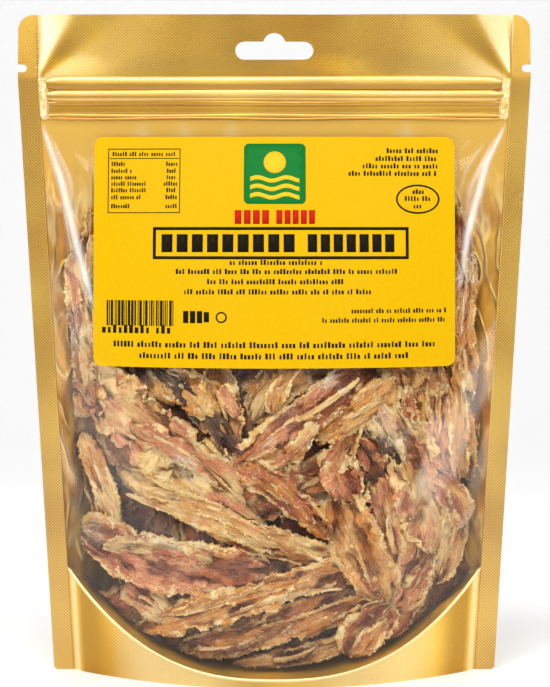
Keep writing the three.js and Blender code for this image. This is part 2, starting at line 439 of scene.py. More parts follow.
def foldsAt(x, z):
    total = np.zeros_like(x)
    for end in (-1, 1):
        dx = sealEdge(pouch["zipFoot"]) - end * x
        dz = pouch["zipFoot"] - z
        reach = np.hypot(dx, dz) + 1e-6
        lean = np.degrees(np.arctan2(dx, dz))
        wide = film["foldWidth"] + film["foldSpread"] * reach
        for angle, length, height in film["folds"]:
            off = np.radians(lean - angle) * reach
            part = reach / (film["foldPeak"] * length)
            total += height * part * np.exp(1 - part) * np.exp(-((off / wide) ** 2))
    return total


# painted white highlights along the folds
def paintedStreaksAt(x, z):
    total = np.zeros_like(x)
    for end, strength, heights, places, widths in film["paintedStreaks"]:
        off = (end * x - np.interp(z, heights, places)) / np.interp(z, heights, widths)
        fade = smooth(z - heights[0], *film["streakStart"]) * smooth(heights[-1] - z, *film["streakStop"])
        total += strength * fade * np.exp(-off * off)
    return np.minimum(total, 1)


def filmOut(x, z):  # how far the film stands out of the mid-plane
    across = np.clip(x / sealEdge(z), -1, 1)
    rim = 1 - across ** 4
    foot = smooth(z - bow(x), 0.0, film["footFade"])
    lift = film["heapLift"] * smooth(film["heapTop"] - z, 0.0, film["heapFade"])
    lump = np.sin(140 * x + 1.3 + 2 * np.sin(70 * z)) * np.sin(120 * z + 0.7 + 2 * np.sin(90 * x))
    ripple = np.sin(410 * x + 3 * np.sin(150 * z)) * np.sin(360 * z + 2 + 3 * np.sin(170 * x))
    lift += film["lump"] * lump + film["ripple"] * ripple + foldsAt(x, z)
    return bulge(x, z, pouch["frontDepth"]) + film["stand"] + lift * foot * rim * besideLabel(x, z)


# finishes

def linear(r, g, b):  # a colour as it looks on a screen, 0 to 255
    def one(value):
        value = value / 255
        return value / 12.92 if value <= 0.04045 else ((value + 0.055) / 1.055) ** 2.4
    return (one(r), one(g), one(b), 1.0)


def newFinish(name):
    material = bpy.data.materials.new(name)
    material.use_nodes = True
    tree = material.node_tree
    tree.nodes.clear()
    tree.nodes.new("ShaderNodeOutputMaterial").name = "surface"
    return material, tree, tree.nodes.new("ShaderNodeTexCoord").outputs["Object"]


def closeFinish(material, shader):  # takes a shader, or what a plain one is to be set to
    tree = material.node_tree
    if isinstance(shader, dict):
        shader = addNode(tree, "ShaderNodeBsdfPrincipled", shader)
    tree.links.new(shader.outputs[0], tree.nodes["surface"].inputs["Surface"])
    return material


def bumpOf(tree, height, distance):
    inputs = {"Height": height, "Distance": distance, "Strength": 1.0}
    return addNode(tree, "ShaderNodeBump", inputs).outputs[0]


def readMark(tree, name, socket="Fac"):
    return Field(tree, addNode(tree, "ShaderNodeAttribute", {}, attribute_name=name).outputs[socket])


gold = {
    "deep": linear(194, 140, 32),
    "light": linear(240, 194, 76),
    # the colours of the painted highlight and the painted shade
    "pale": linear(253, 234, 172),
    "shade": linear(172, 122, 18),
    "lining": linear(255, 206, 84),
    "liningDeep": linear(206, 142, 44),
    # painted shade: a deeper gold for the lining where it faces up
    "floor": linear(236, 182, 54),
    "pitch": 0.00085,  # of the fine dots pressed into the film
    "emboss": 0.00004,
    "smoothFrom": 0.212,  # the lining is drawn smooth above this, and slack below the next
    "slackFrom": 0.185,
    "paintedZipBands": [  # painted light and dark bands for the ribs' reflections: pairs of a height and a sheen from -1 to 1
        (0.2270, 0.0), (0.2279, -0.4), (0.2286, 0.4), (0.2293, -0.4), (0.2299, 0.4), (0.2304, -0.2),
        (0.2334, -0.2), (0.2340, -0.6), (0.2345, 0.3), (0.2351, 0.6), (0.2357, 0.3), (0.2361, -0.7),
        (0.2366, 0.4), (0.2377, 0.6), (0.2386, 0.3), (0.2393, -0.5), (0.2402, -0.7), (0.2411, -0.4),
        (0.2418, 0.3), (0.2436, 0.6), (0.2448, 0.2),
    ],
}


def paintedBandsOf(tree, z, bands):
    low, high = bands[0][0], bands[-1][0]
    ramp = addNode(tree, "ShaderNodeValToRGB", {0: (z - low) / (high - low)})
    stops = ramp.color_ramp.elements
    for height, _ in bands[1:-1]:
        stops.new((height - low) / (high - low))
    for stop, (_, sheen) in zip(stops, bands):
        shade = 0.5 + 0.5 * sheen
        stop.color = (shade, shade, shade, 1.0)
    return Field(tree, ramp.outputs["Color"]) * 2.0 - 1.0


# pale above 0 lays a painted highlight over the whole surface, below 0 painted shade; bands lays painted
# bands of light and shade by height
def goldFinish(name, emboss, grain, roughness, lined=False, pale=0.0, coat=0.9, bands=None):
    material, tree, place = newFinish(name)
    x, y, z = splitXyz(tree, place)
    patch = noiseField(tree, place, 24.0, 1.0)
    speck = noiseField(tree, place, 2600.0, 1.0)
    turn = 2 * math.pi / gold["pitch"] / math.sqrt(2)
    dots = ((x + z) * turn).math("SINE") + ((x - z) * turn).math("SINE")
    tone = patch.step(0.2, 0.8)
    if lined:
        tone = tone * 0.3 + 0.4
    tone = tone + dots * (0.28 * emboss)
    height = dots * (0.5 * emboss * gold["emboss"]) + speck * grain
    # sheen: painted highlight where above 0, painted shade where below 0
    sheen = readMark(tree, "sheen") + pale + dots * (0.11 * emboss) + (speck - 0.5) * (0.5 * emboss)
    if bands:
        sheen = sheen + paintedBandsOf(tree, z, bands)
    shine = sheen.clamp()
    colour = mixColour(tree, tone.clamp(), gold["deep"], gold["light"])
    colour = mixColour(tree, (-sheen).clamp(), colour, gold["shade"])
    colour = mixColour(tree, shine * 0.9, colour, gold["pale"])
    metal = shine * -0.6 + 1.0 if emboss else 1.0 - 0.6 * pale  # one number where nothing varies
    if lined:  # the film's inner side is a softer, milkier gold with fine creases, painted highlights along the crinkles and the folds, and a painted deeper gold where it faces up, for the warm shade there
        _, facingY, facingZ = splitXyz(tree, tree.nodes.new("ShaderNodeTexCoord").outputs["Normal"])
        within = (facingZ * 0.5 - facingY).step(-0.05, 0.05)
        slack = z.step(gold["smoothFrom"], gold["slackFrom"])
        cloud = noiseField(tree, joinXyz(tree, x * 95.0, y * 60.0, z * 48.0), 1.0)
        crinkle = noiseField(tree, joinXyz(tree, x * 120.0, y * 60.0, z * 42.0 + x * 40.0), 1.0, 1.0)
        line = crinkle.line(0.5, 16.0) * slack * (-facingY).step(0.3, 0.8)
        deeper = cloud.step(0.36, 0.62) * slack * 0.8 + 0.2
        paler = (line * 0.5 + readMark(tree, "fold") * 0.5).clamp()
        soft = mixColour(tree, deeper, gold["lining"], gold["liningDeep"])
        soft = mixColour(tree, paler, soft, gold["pale"])
        # painted shade: a deeper gold where the lining faces up
        soft = mixColour(tree, facingZ.step(0.3, 0.8), soft, gold["floor"])
        colour = mixColour(tree, within, colour, soft)
        height = height + (cloud * slack * 0.004 + line * 0.0005) * within
        metal = within * -0.45 + 1.0
    return closeFinish(material, {
        "Base Color": colour,
        "Metallic": metal,
        "Roughness": speck * 0.12 + (roughness - 0.06),
        "Normal": bumpOf(tree, height, 1.0),
        "Coat Weight": coat,
        "Coat Roughness": 0.15,
        "Coat IOR": 1.75,
    })


def clearFinish():
    material, tree, place = newFinish("clearFilm")
    ripple = noiseField(tree, place, 160.0)
    normal = bumpOf(tree, ripple, 0.00002)
    outer = 1.0 - Field(tree, tree.nodes.new("ShaderNodeNewGeometry").outputs["Backfacing"])
    loose = splitXyz(tree, place)[2].step(pouch["zipFoot"], pouch["zipFoot"] - film["pressed"])
    sheen = Field(tree, addNode(tree, "ShaderNodeFresnel", {"IOR": 1.5, "Normal": normal}).outputs[0])
    clear = addNode(tree, "ShaderNodeBsdfTransparent", {"Color": film["clear"]})
    inputs = {"Color": film["gloss"], "Roughness": film["roughness"], "Normal": normal}
    gloss = addNode(tree, "ShaderNodeBsdfGlossy", inputs)
    paintedStreak = addNode(tree, "ShaderNodeBsdfDiffuse", {"Color": film["streakWhite"]})
    inputs = {0: sheen * outer * loose * 0.9, 1: clear.outputs[0], 2: gloss.outputs[0]}
    both = addNode(tree, "ShaderNodeMixShader", inputs)
    # painted highlight: white streaks along the folds
    share = readMark(tree, "crease") * outer * (0.7 + 0.4 * ripple)
    inputs = {0: share, 1: both.outputs[0], 2: paintedStreak.outputs[0]}
    return closeFinish(material, addNode(tree, "ShaderNodeMixShader", inputs))


fishColours = {
    "crest": linear(255, 232, 176),
    "gilt": linear(250, 200, 100),
    "frost": linear(253, 240, 214),
    "stain": linear(208, 120, 42),
    # the painted shade in the hollows
    "deepen": (0.28, 0.14, 0.065, 1.0),
    "inner": (0.30, 0.20, 0.13, 1.0),  # painted shade for the fish further in
    # the core's dark colours are painted shade, for fish deep in the heap
    "core": linear(84, 46, 26),
    "corePale": linear(140, 84, 46),
}


def fishFinish():
    material, tree, place = newFinish("driedFish")
    ridge = readMark(tree, "ridge")
    edge = readMark(tree, "edge")
    along, across, seed = splitXyz(tree, readMark(tree, "grain", "Vector"))

    def grain(fineAlong, fineAcross, shift, detail=3.0):  # noise drawn out along the fibres
        spot = joinXyz(tree, along / fineAlong, across / fineAcross, seed * 5.0 + shift)
        return noiseField(tree, spot, 1.0, detail, 0.65)

    fibre = grain(0.012, 0.0011, 0.0)
    hair = grain(0.009, 0.0008, 3.0, 2.0).line(0.5, 9.0)
    crack = grain(0.016, 0.0022, 7.0).line(0.46, 12.0)
    blotch = grain(0.014, 0.0065, 11.0)
    dust = noiseField(tree, place, 44.0) - 0.12 * splitXyz(tree, place)[2].step(0.066, 0.034)
    patch = noiseField(tree, place, 60.0, 3.0, 0.6)
    speck = noiseField(tree, place, 1100.0, 2.0, 0.7)
    web = noiseField(tree, place, 240.0, 4.0, 0.7)
    stretched = joinXyz(tree, along * 190.0, across * 420.0, seed)
    swirl = addNode(tree, "ShaderNodeTexNoise", {"Vector": place, "Scale": 220.0, "Detail": 3.0})
    inputs = {0: swirl.outputs["Color"], 1: (1.6, 1.6, 1.6), 2: stretched}
    bent = addNode(tree, "ShaderNodeVectorMath", inputs, operation="MULTIPLY_ADD")
    inputs = {"Vector": bent.outputs[0], "Scale": 1.0}
    cells = addNode(tree, "ShaderNodeTexVoronoi", inputs, feature="DISTANCE_TO_EDGE")
    net = Field(tree, cells.outputs["Distance"]).step(0.10, 0.0)
    bright = readMark(tree, "flesh").step(0.03, 0.20)
    stained = patch.step(0.46, 0.66) * 0.5
    colour = mixColour(tree, stained, readMark(tree, "flesh", "Color"), fishColours["stain"])
    # painted shade in the hollows of the relief and in the cracks, mixed with tone that varies at random
    hollowShade = (1.0 - ridge + (0.5 - fibre) * 0.6 + (0.5 - blotch) * 1.6).step(0.46, 0.98)
    hollowShadeAndCracks = (hollowShade * 0.85 + crack * 0.3).clamp()
    colour = mixColour(tree, hollowShadeAndCracks, colour, fishColours["deepen"], "MULTIPLY")
    rimTone = mixColour(tree, web.step(0.4, 0.6), fishColours["gilt"], fishColours["crest"])
    broken = edge * (0.15 + 0.85 * patch.step(0.40, 0.58)) * (0.5 + 0.5 * web.step(0.36, 0.60))
    grainy = (fibre - 0.5) * 0.45 + (speck - 0.5) * 0.5 + (blotch - 0.5) * 1.1
    # pale crests and crumbly borders; the ridges' share is partly a painted highlight
    pale = (ridge * 0.45 + broken * 0.95 + hair * 0.18 + net * 0.20 + grainy).step(0.44, 0.98)
    colour = mixColour(tree, pale * (0.2 + 0.7 * bright), colour, rimTone)
    frosty = dust.step(0.54, 0.66) * (0.3 * web.step(0.44, 0.58) + net * 0.9 + 0.25) * bright
    dotted = (speck.step(0.60, 0.72) * 0.4 + hair * net * 0.4) * (0.08 + 0.8 * bright)
    colour = mixColour(tree, (frosty + dotted).clamp() * 0.75, colour, fishColours["frost"])
    # painted shade: the further in from the film, the darker
    colour = mixColour(tree, readMark(tree, "sunk") * 0.85, colour, fishColours["inner"], "MULTIPLY")
    height = fibre * 0.0006 + hair * 0.0002 - crack * 0.0003 + speck * 0.0003 + web * 0.0004 + net * 0.0002
    return closeFinish(material, {
        "Base Color": colour,
        "Roughness": 0.42 + 0.25 * pale,
        "Normal": bumpOf(tree, height, 1.0),
        "Subsurface Weight": 0.15,
        "Subsurface Radius": (0.004, 0.0016, 0.0006),
        "Subsurface Scale": 0.4,
    })


# the heap's core, painted dark as fish in deep shade
def deepFinish():
    material, tree, place = newFinish("deepFish")
    patch = noiseField(tree, place, 120.0, 4.0, 0.6)
    return closeFinish(material, {
        "Base Color": mixColour(tree, patch.step(0.35, 0.65), fishColours["core"], fishColours["corePale"]),
        "Roughness": 0.7,
        "Normal": bumpOf(tree, patch, 0.003),
    })


def printFinish(name, colour, roughness=0.4):
    material, tree, place = newFinish(name)
    mottle = noiseField(tree, place, 1500.0)
    dark = tuple(channel * 0.93 for channel in colour[:3]) + (1.0,)
    return closeFinish(material, {
        "Base Color": mixColour(tree, mottle.step(0.3, 0.7), dark, colour),
        "Roughness": mottle * 0.1 + roughness,
        "Specular IOR Level": 0.06,
        "Normal": bumpOf(tree, mottle, 0.00004),
    })


# each gold has its emboss, its grain's depth and its roughness
goldSeal = goldFinish("goldSeal", 1.0, 0.00003, 0.30)
goldSkirt = goldFinish("goldSkirt", 0.7, 0.00003, 0.30, coat=0.3)
goldLined = goldFinish("goldLined", 0.0, 0.00003, 0.34, lined=True)
# the zip: painted bands of light and shade, and darkened all over towards the painted shade colour
goldZip = goldFinish("goldZip", 0.3, 0.00005, 0.46, pale=-0.22, coat=0.7, bands=gold["paintedZipBands"])
goldLine = goldFinish("goldLine", 0.3, 0.00005, 0.42, pale=-0.10, coat=0.7)
# pale: a painted highlight on the weld bead and the crushed ends of the zip
goldWeld = goldFinish("goldWeld", 0.0, 0.00003, 0.40, pale=0.8)
clearFilm = clearFinish()
driedFish = fishFinish()
deepFish = deepFinish()
labelPaper = printFinish("labelPaper", linear(225, 176, 2), 0.34)
blackInk = printFinish("blackInk", linear(28, 24, 12))
redInk = printFinish("redInk", linear(200, 34, 24))
greenInk = printFinish("greenInk", linear(22, 120, 48))
sunInk = printFinish("sunInk", linear(246, 196, 40))
print("finishes made")


# seals and header: one flat plate with the hang slot and the tear notches

header = {
    "slotLength": 0.032,
    "slotHeight": 0.0074,
    "slotFloor": 0.2515,
    "bumpRadius": 0.0046,
    "bumpRise": 0.0026,
    "notchDepth": 0.0037,
    "notchHeight": 0.0033,
    "notchZ": 0.248,
    "wave": 0.0005,
    "fanLean": [0.0, 0.50, 0.88, 1.30],  # radians from upright: the fold that fans up from the zip's ends
    "fanRise": [0.0, 0.045, 0.0, 0.0],
    "fanReach": 0.060,
    "fanBlur": 0.06,
    "leanBack": 0.030,
    "cornerBack": 0.100,
    "cornerWidth": 0.026,
    "shineLean": [0, 3, 25, 36, 48, 60, 80, 90],  # degrees from upright, and the painted highlight (above 0) and painted shade (below 0) there
    "shine": [0.6, 1.0, 0.8, -0.7, -0.6, 0.5, 0.6, 0.5],
    "shineReach": 0.024,
    # painted shade, darker towards the slot
    "slotShade": 0.45,
    "pitch": 0.0017,
}


def plateLoops():
    half, foot, cut = pouch["width"] / 2, pouch["floorWidth"] / 2, pouch["footCut"]
    notch = header["notchHeight"] / 2
    corner = pouch["corner"]
    right = [(foot - pouch["sealWidth"], 0.0), (foot - cut, 0.0), (float(halfWidth(cut)), cut)]
    right += [(half, pouch["zipTop"]), (half, header["notchZ"] - notch)]
    right += arc(half - header["notchDepth"] + notch, header["notchZ"], notch, -90, -270)
    right += [(half, header["notchZ"] + notch)]
    right += arc(half - corner, pouch["height"] - corner, corner, 0, 90)
    left = [(-x, z) for x, z in reversed(right)]
    edge = float(sealEdge(pouch["zipFoot"]))
    outer = right + left + [(-edge, pouch["zipFoot"]), (edge, pouch["zipFoot"])]
    end = header["slotHeight"] / 2
    middle = header["slotFloor"] + end
    reach = header["slotLength"] / 2 - end
    spread = math.degrees(math.asin((end - header["bumpRise"]) / header["bumpRadius"]))
    slot = arc(reach, middle, end, -90, 90)
    slot += arc(0, middle + header["bumpRise"], header["bumpRadius"], spread, 180 - spread, 14)
    slot += arc(-reach, middle, end, 90, 270)
    return [outer, slot]


def fromZipEnd(x, z):  # across and up from the nearer end of the zip, lean from upright and distance
    dx = sealEdge(pouch["zipTop"]) - np.abs(x)
    dz = z - pouch["zipTop"] + 0.0005
    return dx, dz, np.arctan2(dx, dz), np.hypot(dx, dz)


def plateWave(x, z):  # the header isn't quite flat
    up = z - pouch["zipTop"]
    above = smooth(up, -0.0005, 0.0015)
    within = smooth(sealEdge(z) - np.abs(x), 0.0, 0.001)
    wave = header["wave"] * (np.sin(x * 62 + 0.6) + 0.6 * np.sin(x * 117 + z * 60 + 2.0))
    wave *= smooth(up, 0.0, 0.010)
    dx, _, lean, reach = fromZipEnd(x, z)
    shifts = np.linspace(-header["fanBlur"], header["fanBlur"], 5)
    rises = [np.interp(lean + shift, header["fanLean"], header["fanRise"]) for shift in shifts]
    fold = np.mean(rises, axis=0) * reach * np.exp(-((reach / header["fanReach"]) ** 4))
    corner = 1 - np.clip(dx / header["cornerWidth"], 0, 1)
    leaned = (header["leanBack"] + header["cornerBack"] * corner) * np.maximum(0, up) * above
    return (wave - fold) * above * within + leaned


# painted highlight and painted shade on the header: a pale fan up from each end of the zip, a dark band
# beside it, darker round the slot
def plateLightAndShade(x, z):
    dx, dz, lean, reach = fromZipEnd(x, z)
    lean = np.degrees(lean)
    near = np.exp(-((reach / header["shineReach"]) ** 2))
    fan = np.interp(lean, header["shineLean"], header["shine"]) * np.where(lean < 30, 1, near)
    slot = header["slotShade"] * smooth(-np.abs(x), -0.055, -0.012)
    return np.where((dx > 0) & (dz > 0), fan - slot, 0)


points, faces = cutSheet(plateLoops(), header["pitch"], lambda x, z: (x, plateWave(x, z), z))
plate = markPoints(meshFrom("plate", points, faces), "sheen", plateLightAndShade(points[:, 0], points[:, 2]))
addPiece("seals", thicken(plate, pouch["sealThick"], 0.0), goldSeal, "pouch")


# back panel, skirts and gusset: the gold film that closes the pouch behind and below

back = {
    "stand": 0.0004,
    "thick": 0.0004,
    "crease": 0.0006,
    "tuck": 0.080,
    "folds": [-0.0540, -0.0368, -0.0172, 0.0541],  # painted highlights of short folds under the zip
    "foldWidth": 0.0012,
    "foldSpread": 0.0026,
    "skirtThick": 0.0006,
    "skirtLine": (0.9, 0.0022, 0.0013),  # a painted highlight beside each seal: strength, place, half width
    # painted shade beside that line, a painted highlight towards the middle, and less of it at the middle
    "skirtDeep": 0.85,
    "skirtPale": 0.54,
    "skirtMiddle": 0.40,
    "gussetRipple": 0.0008,
}


def sheetPiece(name, grid, place, thick, material, slot="gold_film", flipped=False, **marks):
    points, faces = gridOver(*grid, place)
    sheet = meshFrom(name, points, flip(faces) if flipped else faces)
    for mark, valuesAt in marks.items():
        markPoints(sheet, mark, valuesAt(points[:, 0], points[:, 2]))
    addPiece(name, thicken(sheet, thick), material, "pouch")


def skirtPlace(side, depth):
    def place(u, t):
        z = t * bow(u * sealEdge(0))
        for _ in range(3):  # x and z depend on each other
            x = u * sealEdge(z)
            z = t * bow(x)
        out = bulge(x, z, depth) + pouch["skirtOut"] * np.minimum(1, 8 * (1 - np.abs(u)) + 0.3)
        return x, side * out, z
    return place


def skirtLightAndShade(x, z):  # painted light and shade: a highlight beside each seal, then painted shade, paler towards the middle, a little darker at the middle
    room = sealEdge(z) - np.abs(x)
    bright, place, wide = back["skirtLine"]
    line = bright * np.exp(-(((room - place) / wide) ** 2))
    deep = back["skirtDeep"] * smooth(room, 0.003, 0.006) * smooth(-room, -0.020, -0.009)
    pale = back["skirtPale"] * smooth(room, 0.012, 0.034)
    return line - deep + pale - back["skirtMiddle"] * smooth(room, 0.050, 0.082)


def backOut(x, z):  # lies flat on the front under the zip
    return bulge(x, z, pouch["backDepth"]) * smooth(pouch["zipFoot"] - z, 0.0, back["tuck"])


def backPlace(u, t):
    x, z = wallSpot(u, t)
    rim = 1 - np.abs(u) ** 6
    crease = np.sin(u * 9 + 3 * np.sin(t * 5)) * np.sin(t * 7 + u * 2)
    crease += 0.6 * np.sin(u * 23 + t * 9) * (1 - t)
    return x, backOut(x, z) + back["stand"] + back["crease"] * crease * rim * (1 - t ** 4), z


# painted highlights of the short folds under the zip
def backFoldHighlights(x, z):
    under = pouch["zipFoot"] - z
    low = smooth(under, -0.001, 0.008)
    wide = back["foldWidth"] + back["foldSpread"] * low
    total = sum(np.exp(-(((x - fold) / wide) ** 2)) for fold in back["folds"])
    return total * low * smooth(-under, -0.020, -0.010)


def gussetPlace(u, t):
    x = u * sealEdge(bow(u * sealEdge(pouch["weldHeight"])))
    z = bow(x)
    across = 2 * t - 1
    reach = bulge(x, z, np.where(across < 0, pouch["frontDepth"], pouch["backDepth"]))
    ripple = back["gussetRipple"] * np.sin(x * 160 + across * 5) * (1 - np.abs(u) ** 4)
    rise = (pouch["gussetRise"] + ripple) * (1 - np.abs(across) ** 4) * np.minimum(1, reach / 0.015)
    return x, across * reach, z + rise


skirtSides = {"front_skirt": (-1, pouch["frontDepth"]), "back_skirt": (1, pouch["backDepth"])}
sheetPiece("back_panel", (180, 70), backPlace, back["thick"], goldLined, flipped=True, fold=backFoldHighlights)
for name, (side, depth) in skirtSides.items():
    place = skirtPlace(side, depth)
    sheetPiece(name, (180, 16), place, back["skirtThick"], goldSkirt, flipped=side > 0, sheen=skirtLightAndShade)
sheetPiece("gusset", (96, 36), gussetPlace, back["thick"], goldLined)


# beads and ribs swept along a path

def makeSweepTree():
    tree, given = newTree("sweptBead", {
        "Path": ("Geometry", None),
        "Wide": ("Float", 0.001),
        "Tall": ("Float", 0.001),
        "Sides": ("Int", 12),
        "Steps": ("Int", 160),
        "End Taper": ("Float", 0.02),
        "Finish": ("Material", None),
    })
    line = addNode(tree, "GeometryNodeMeshToCurve", {"Mesh": given["Path"]})
    even = addNode(tree, "GeometryNodeResampleCurve", {"Curve": line.outputs[0], "Count": given["Steps"]})
    upright = addNode(tree, "GeometryNodeSetCurveNormal", {"Curve": even.outputs[0]}, mode="Z_UP")
    share = Field(tree, tree.nodes.new("GeometryNodeSplineParameter").outputs["Factor"])
    taper = Field(tree, given["End Taper"])
    ends = (share / taper).math("MINIMUM", (1.0 - share) / taper).clamp().math("SQRT")
    circle = addNode(tree, "GeometryNodeCurvePrimitiveCircle", {"Resolution": given["Sides"], "Radius": 1.0})
    size = joinXyz(tree, given["Wide"], given["Tall"], 1.0)
    profile = addNode(tree, "GeometryNodeTransform", {"Geometry": circle.outputs[0], "Scale": size})
    tube = addNode(tree, "GeometryNodeCurveToMesh", {
        "Curve": upright.outputs[0],
        "Profile Curve": profile.outputs[0],
        "Scale": ends * 0.94 + 0.06,
        "Fill Caps": True,
    })
    return closeTree(tree, tube.outputs[0], given["Finish"])


sweepTree = makeSweepTree()


def sweepPiece(name, paths, values, material):  # each path with the values of its own
    holders = []
    for path, own in paths:
        mesh = meshFrom("path", path, [], [(i, i + 1) for i in range(len(path) - 1)])
        holders.append(holdTree(sweepTree, {**values, "Finish": material, **own}, mesh))
    addPiece(name, joinMeshes(name, bakeHolders(holders)), material, "pouch")


zipRibs = {
    "ribs": [  # height of the middle, half height, rise
        (0.2418, 0.0030, 0.00045),
        (0.2369, 0.0025, 0.00045),
        (0.2338, 0.0012, 0.0003),
        (0.2310, 0.0022, 0.0001),
        (0.2286, 0.0009, 0.0003),
        (0.2275, 0.0007, 0.0003),
    ],
    "sunk": 2.2,  # how much deeper than its rise a rib's middle lies
    "short": 0.0014,  # how far from the seals the ribs end
    "wander": 0.0002,
    "points": 80,
    "sweep": {"End Taper": 0.03, "Steps": 160, "Sides": 18},
    "crush": 0.0016,  # the ends are crushed flat by the side seals
    "crushLength": 0.0042,
    "crushGrid": (5, 13),
    "crushThick": 0.0002,
    "seed": 8,
}


def ribPaths():
    for side in (-1, 1):
        for index, (z, tall, rise) in enumerate(zipRibs["ribs"]):
            edge = float(sealEdge(z)) - zipRibs["short"]
            x = np.linspace(-edge, edge, zipRibs["points"])
            sway = zipRibs["wander"] * np.sin(x * (37 + 9 * index) + index * 2.1)
            lift = 0.15 * rise * np.sin(x * (51 + 7 * index) + index)
            y = side * (pouch["sealThick"] / 2 - zipRibs["sunk"] * rise + lift)
            size = {"Wide": (1 + zipRibs["sunk"]) * rise, "Tall": tall}
            yield np.stack([x, y, z + sway], axis=1), size


def crushMesh(side, end, rng):
    def place(u, t):
        z = pouch["zipFoot"] + (pouch["zipTop"] - pouch["zipFoot"]) * t
        x = end * (sealEdge(z) - zipRibs["crushLength"] * (1 - u) / 2)
        inner = (np.abs(u) < 0.99) & (np.abs(2 * t - 1) < 0.99)
        rise = np.array([rng.uniform(0.1, 1.0) for _ in u]) * zipRibs["crush"]
        return x, side * (pouch["sealThick"] / 2 + np.where(inner, rise + 0.0003, -0.0001)), z

    points, faces = gridOver(*zipRibs["crushGrid"], place)
    faces = [(a, b, c) for a, b, c, d in faces] + [(a, c, d) for a, b, c, d in faces]
    if side * end > 0:
        faces = flip(faces)
    return thicken(meshFrom("crush", points, faces), zipRibs["crushThick"])


rng = random.Random(zipRibs["seed"])
sweepPiece("zip", ribPaths(), zipRibs["sweep"], goldZip)
crushed = [crushMesh(side, end, rng) for side in (-1, 1) for end in (-1, 1)]
addPiece("zip_ends", joinMeshes("zipEnds", crushed), goldWeld, "pouch", False)

beads = {
    "weld": {"Wide": 0.0006, "Tall": 0.0007, "End Taper": 0.01, "Steps": 180, "Sides": 10},
    "weldOut": 0.0001,
    "weldPoints": 90,
    "groove": {"Wide": 0.00025, "Tall": 0.0003, "End Taper": 0.002, "Steps": 60, "Sides": 8},
    "groovePoints": 60,
}


def weldPaths():
    u = np.linspace(-1, 1, beads["weldPoints"])
    for side, depth in skirtSides.values():
        x, y, z = skirtPlace(side, depth)(u, np.ones_like(u))
        yield np.stack([x, y + side * beads["weldOut"], z], axis=1), {}


def groovePaths():  # the line where each side seal ends
    z = np.linspace(0.0005, pouch["height"] - 0.0004, beads["groovePoints"])
    for side in (-1, 1):
        y = np.full_like(z, side * pouch["sealThick"] / 2)
        for end in (-1, 1):
            yield np.stack([end * sealEdge(z), y, z], axis=1), {}


sweepPiece("seal_lines", groovePaths(), beads["groove"], goldLine)
sweepPiece("weld_bead", weldPaths(), beads["weld"], goldWeld)


# the clear film

def filmPlace(u, t):
    x, z = wallSpot(u, t)
    return x, -filmOut(x, z), z


sheetPiece("clear_film", (270, 160), filmPlace, film["thick"], clearFilm, "clear_film", crease=paintedStreaksAt)


# dried fish: torn strands, each a closed tube with ridged fibres, laid in bundles behind the film

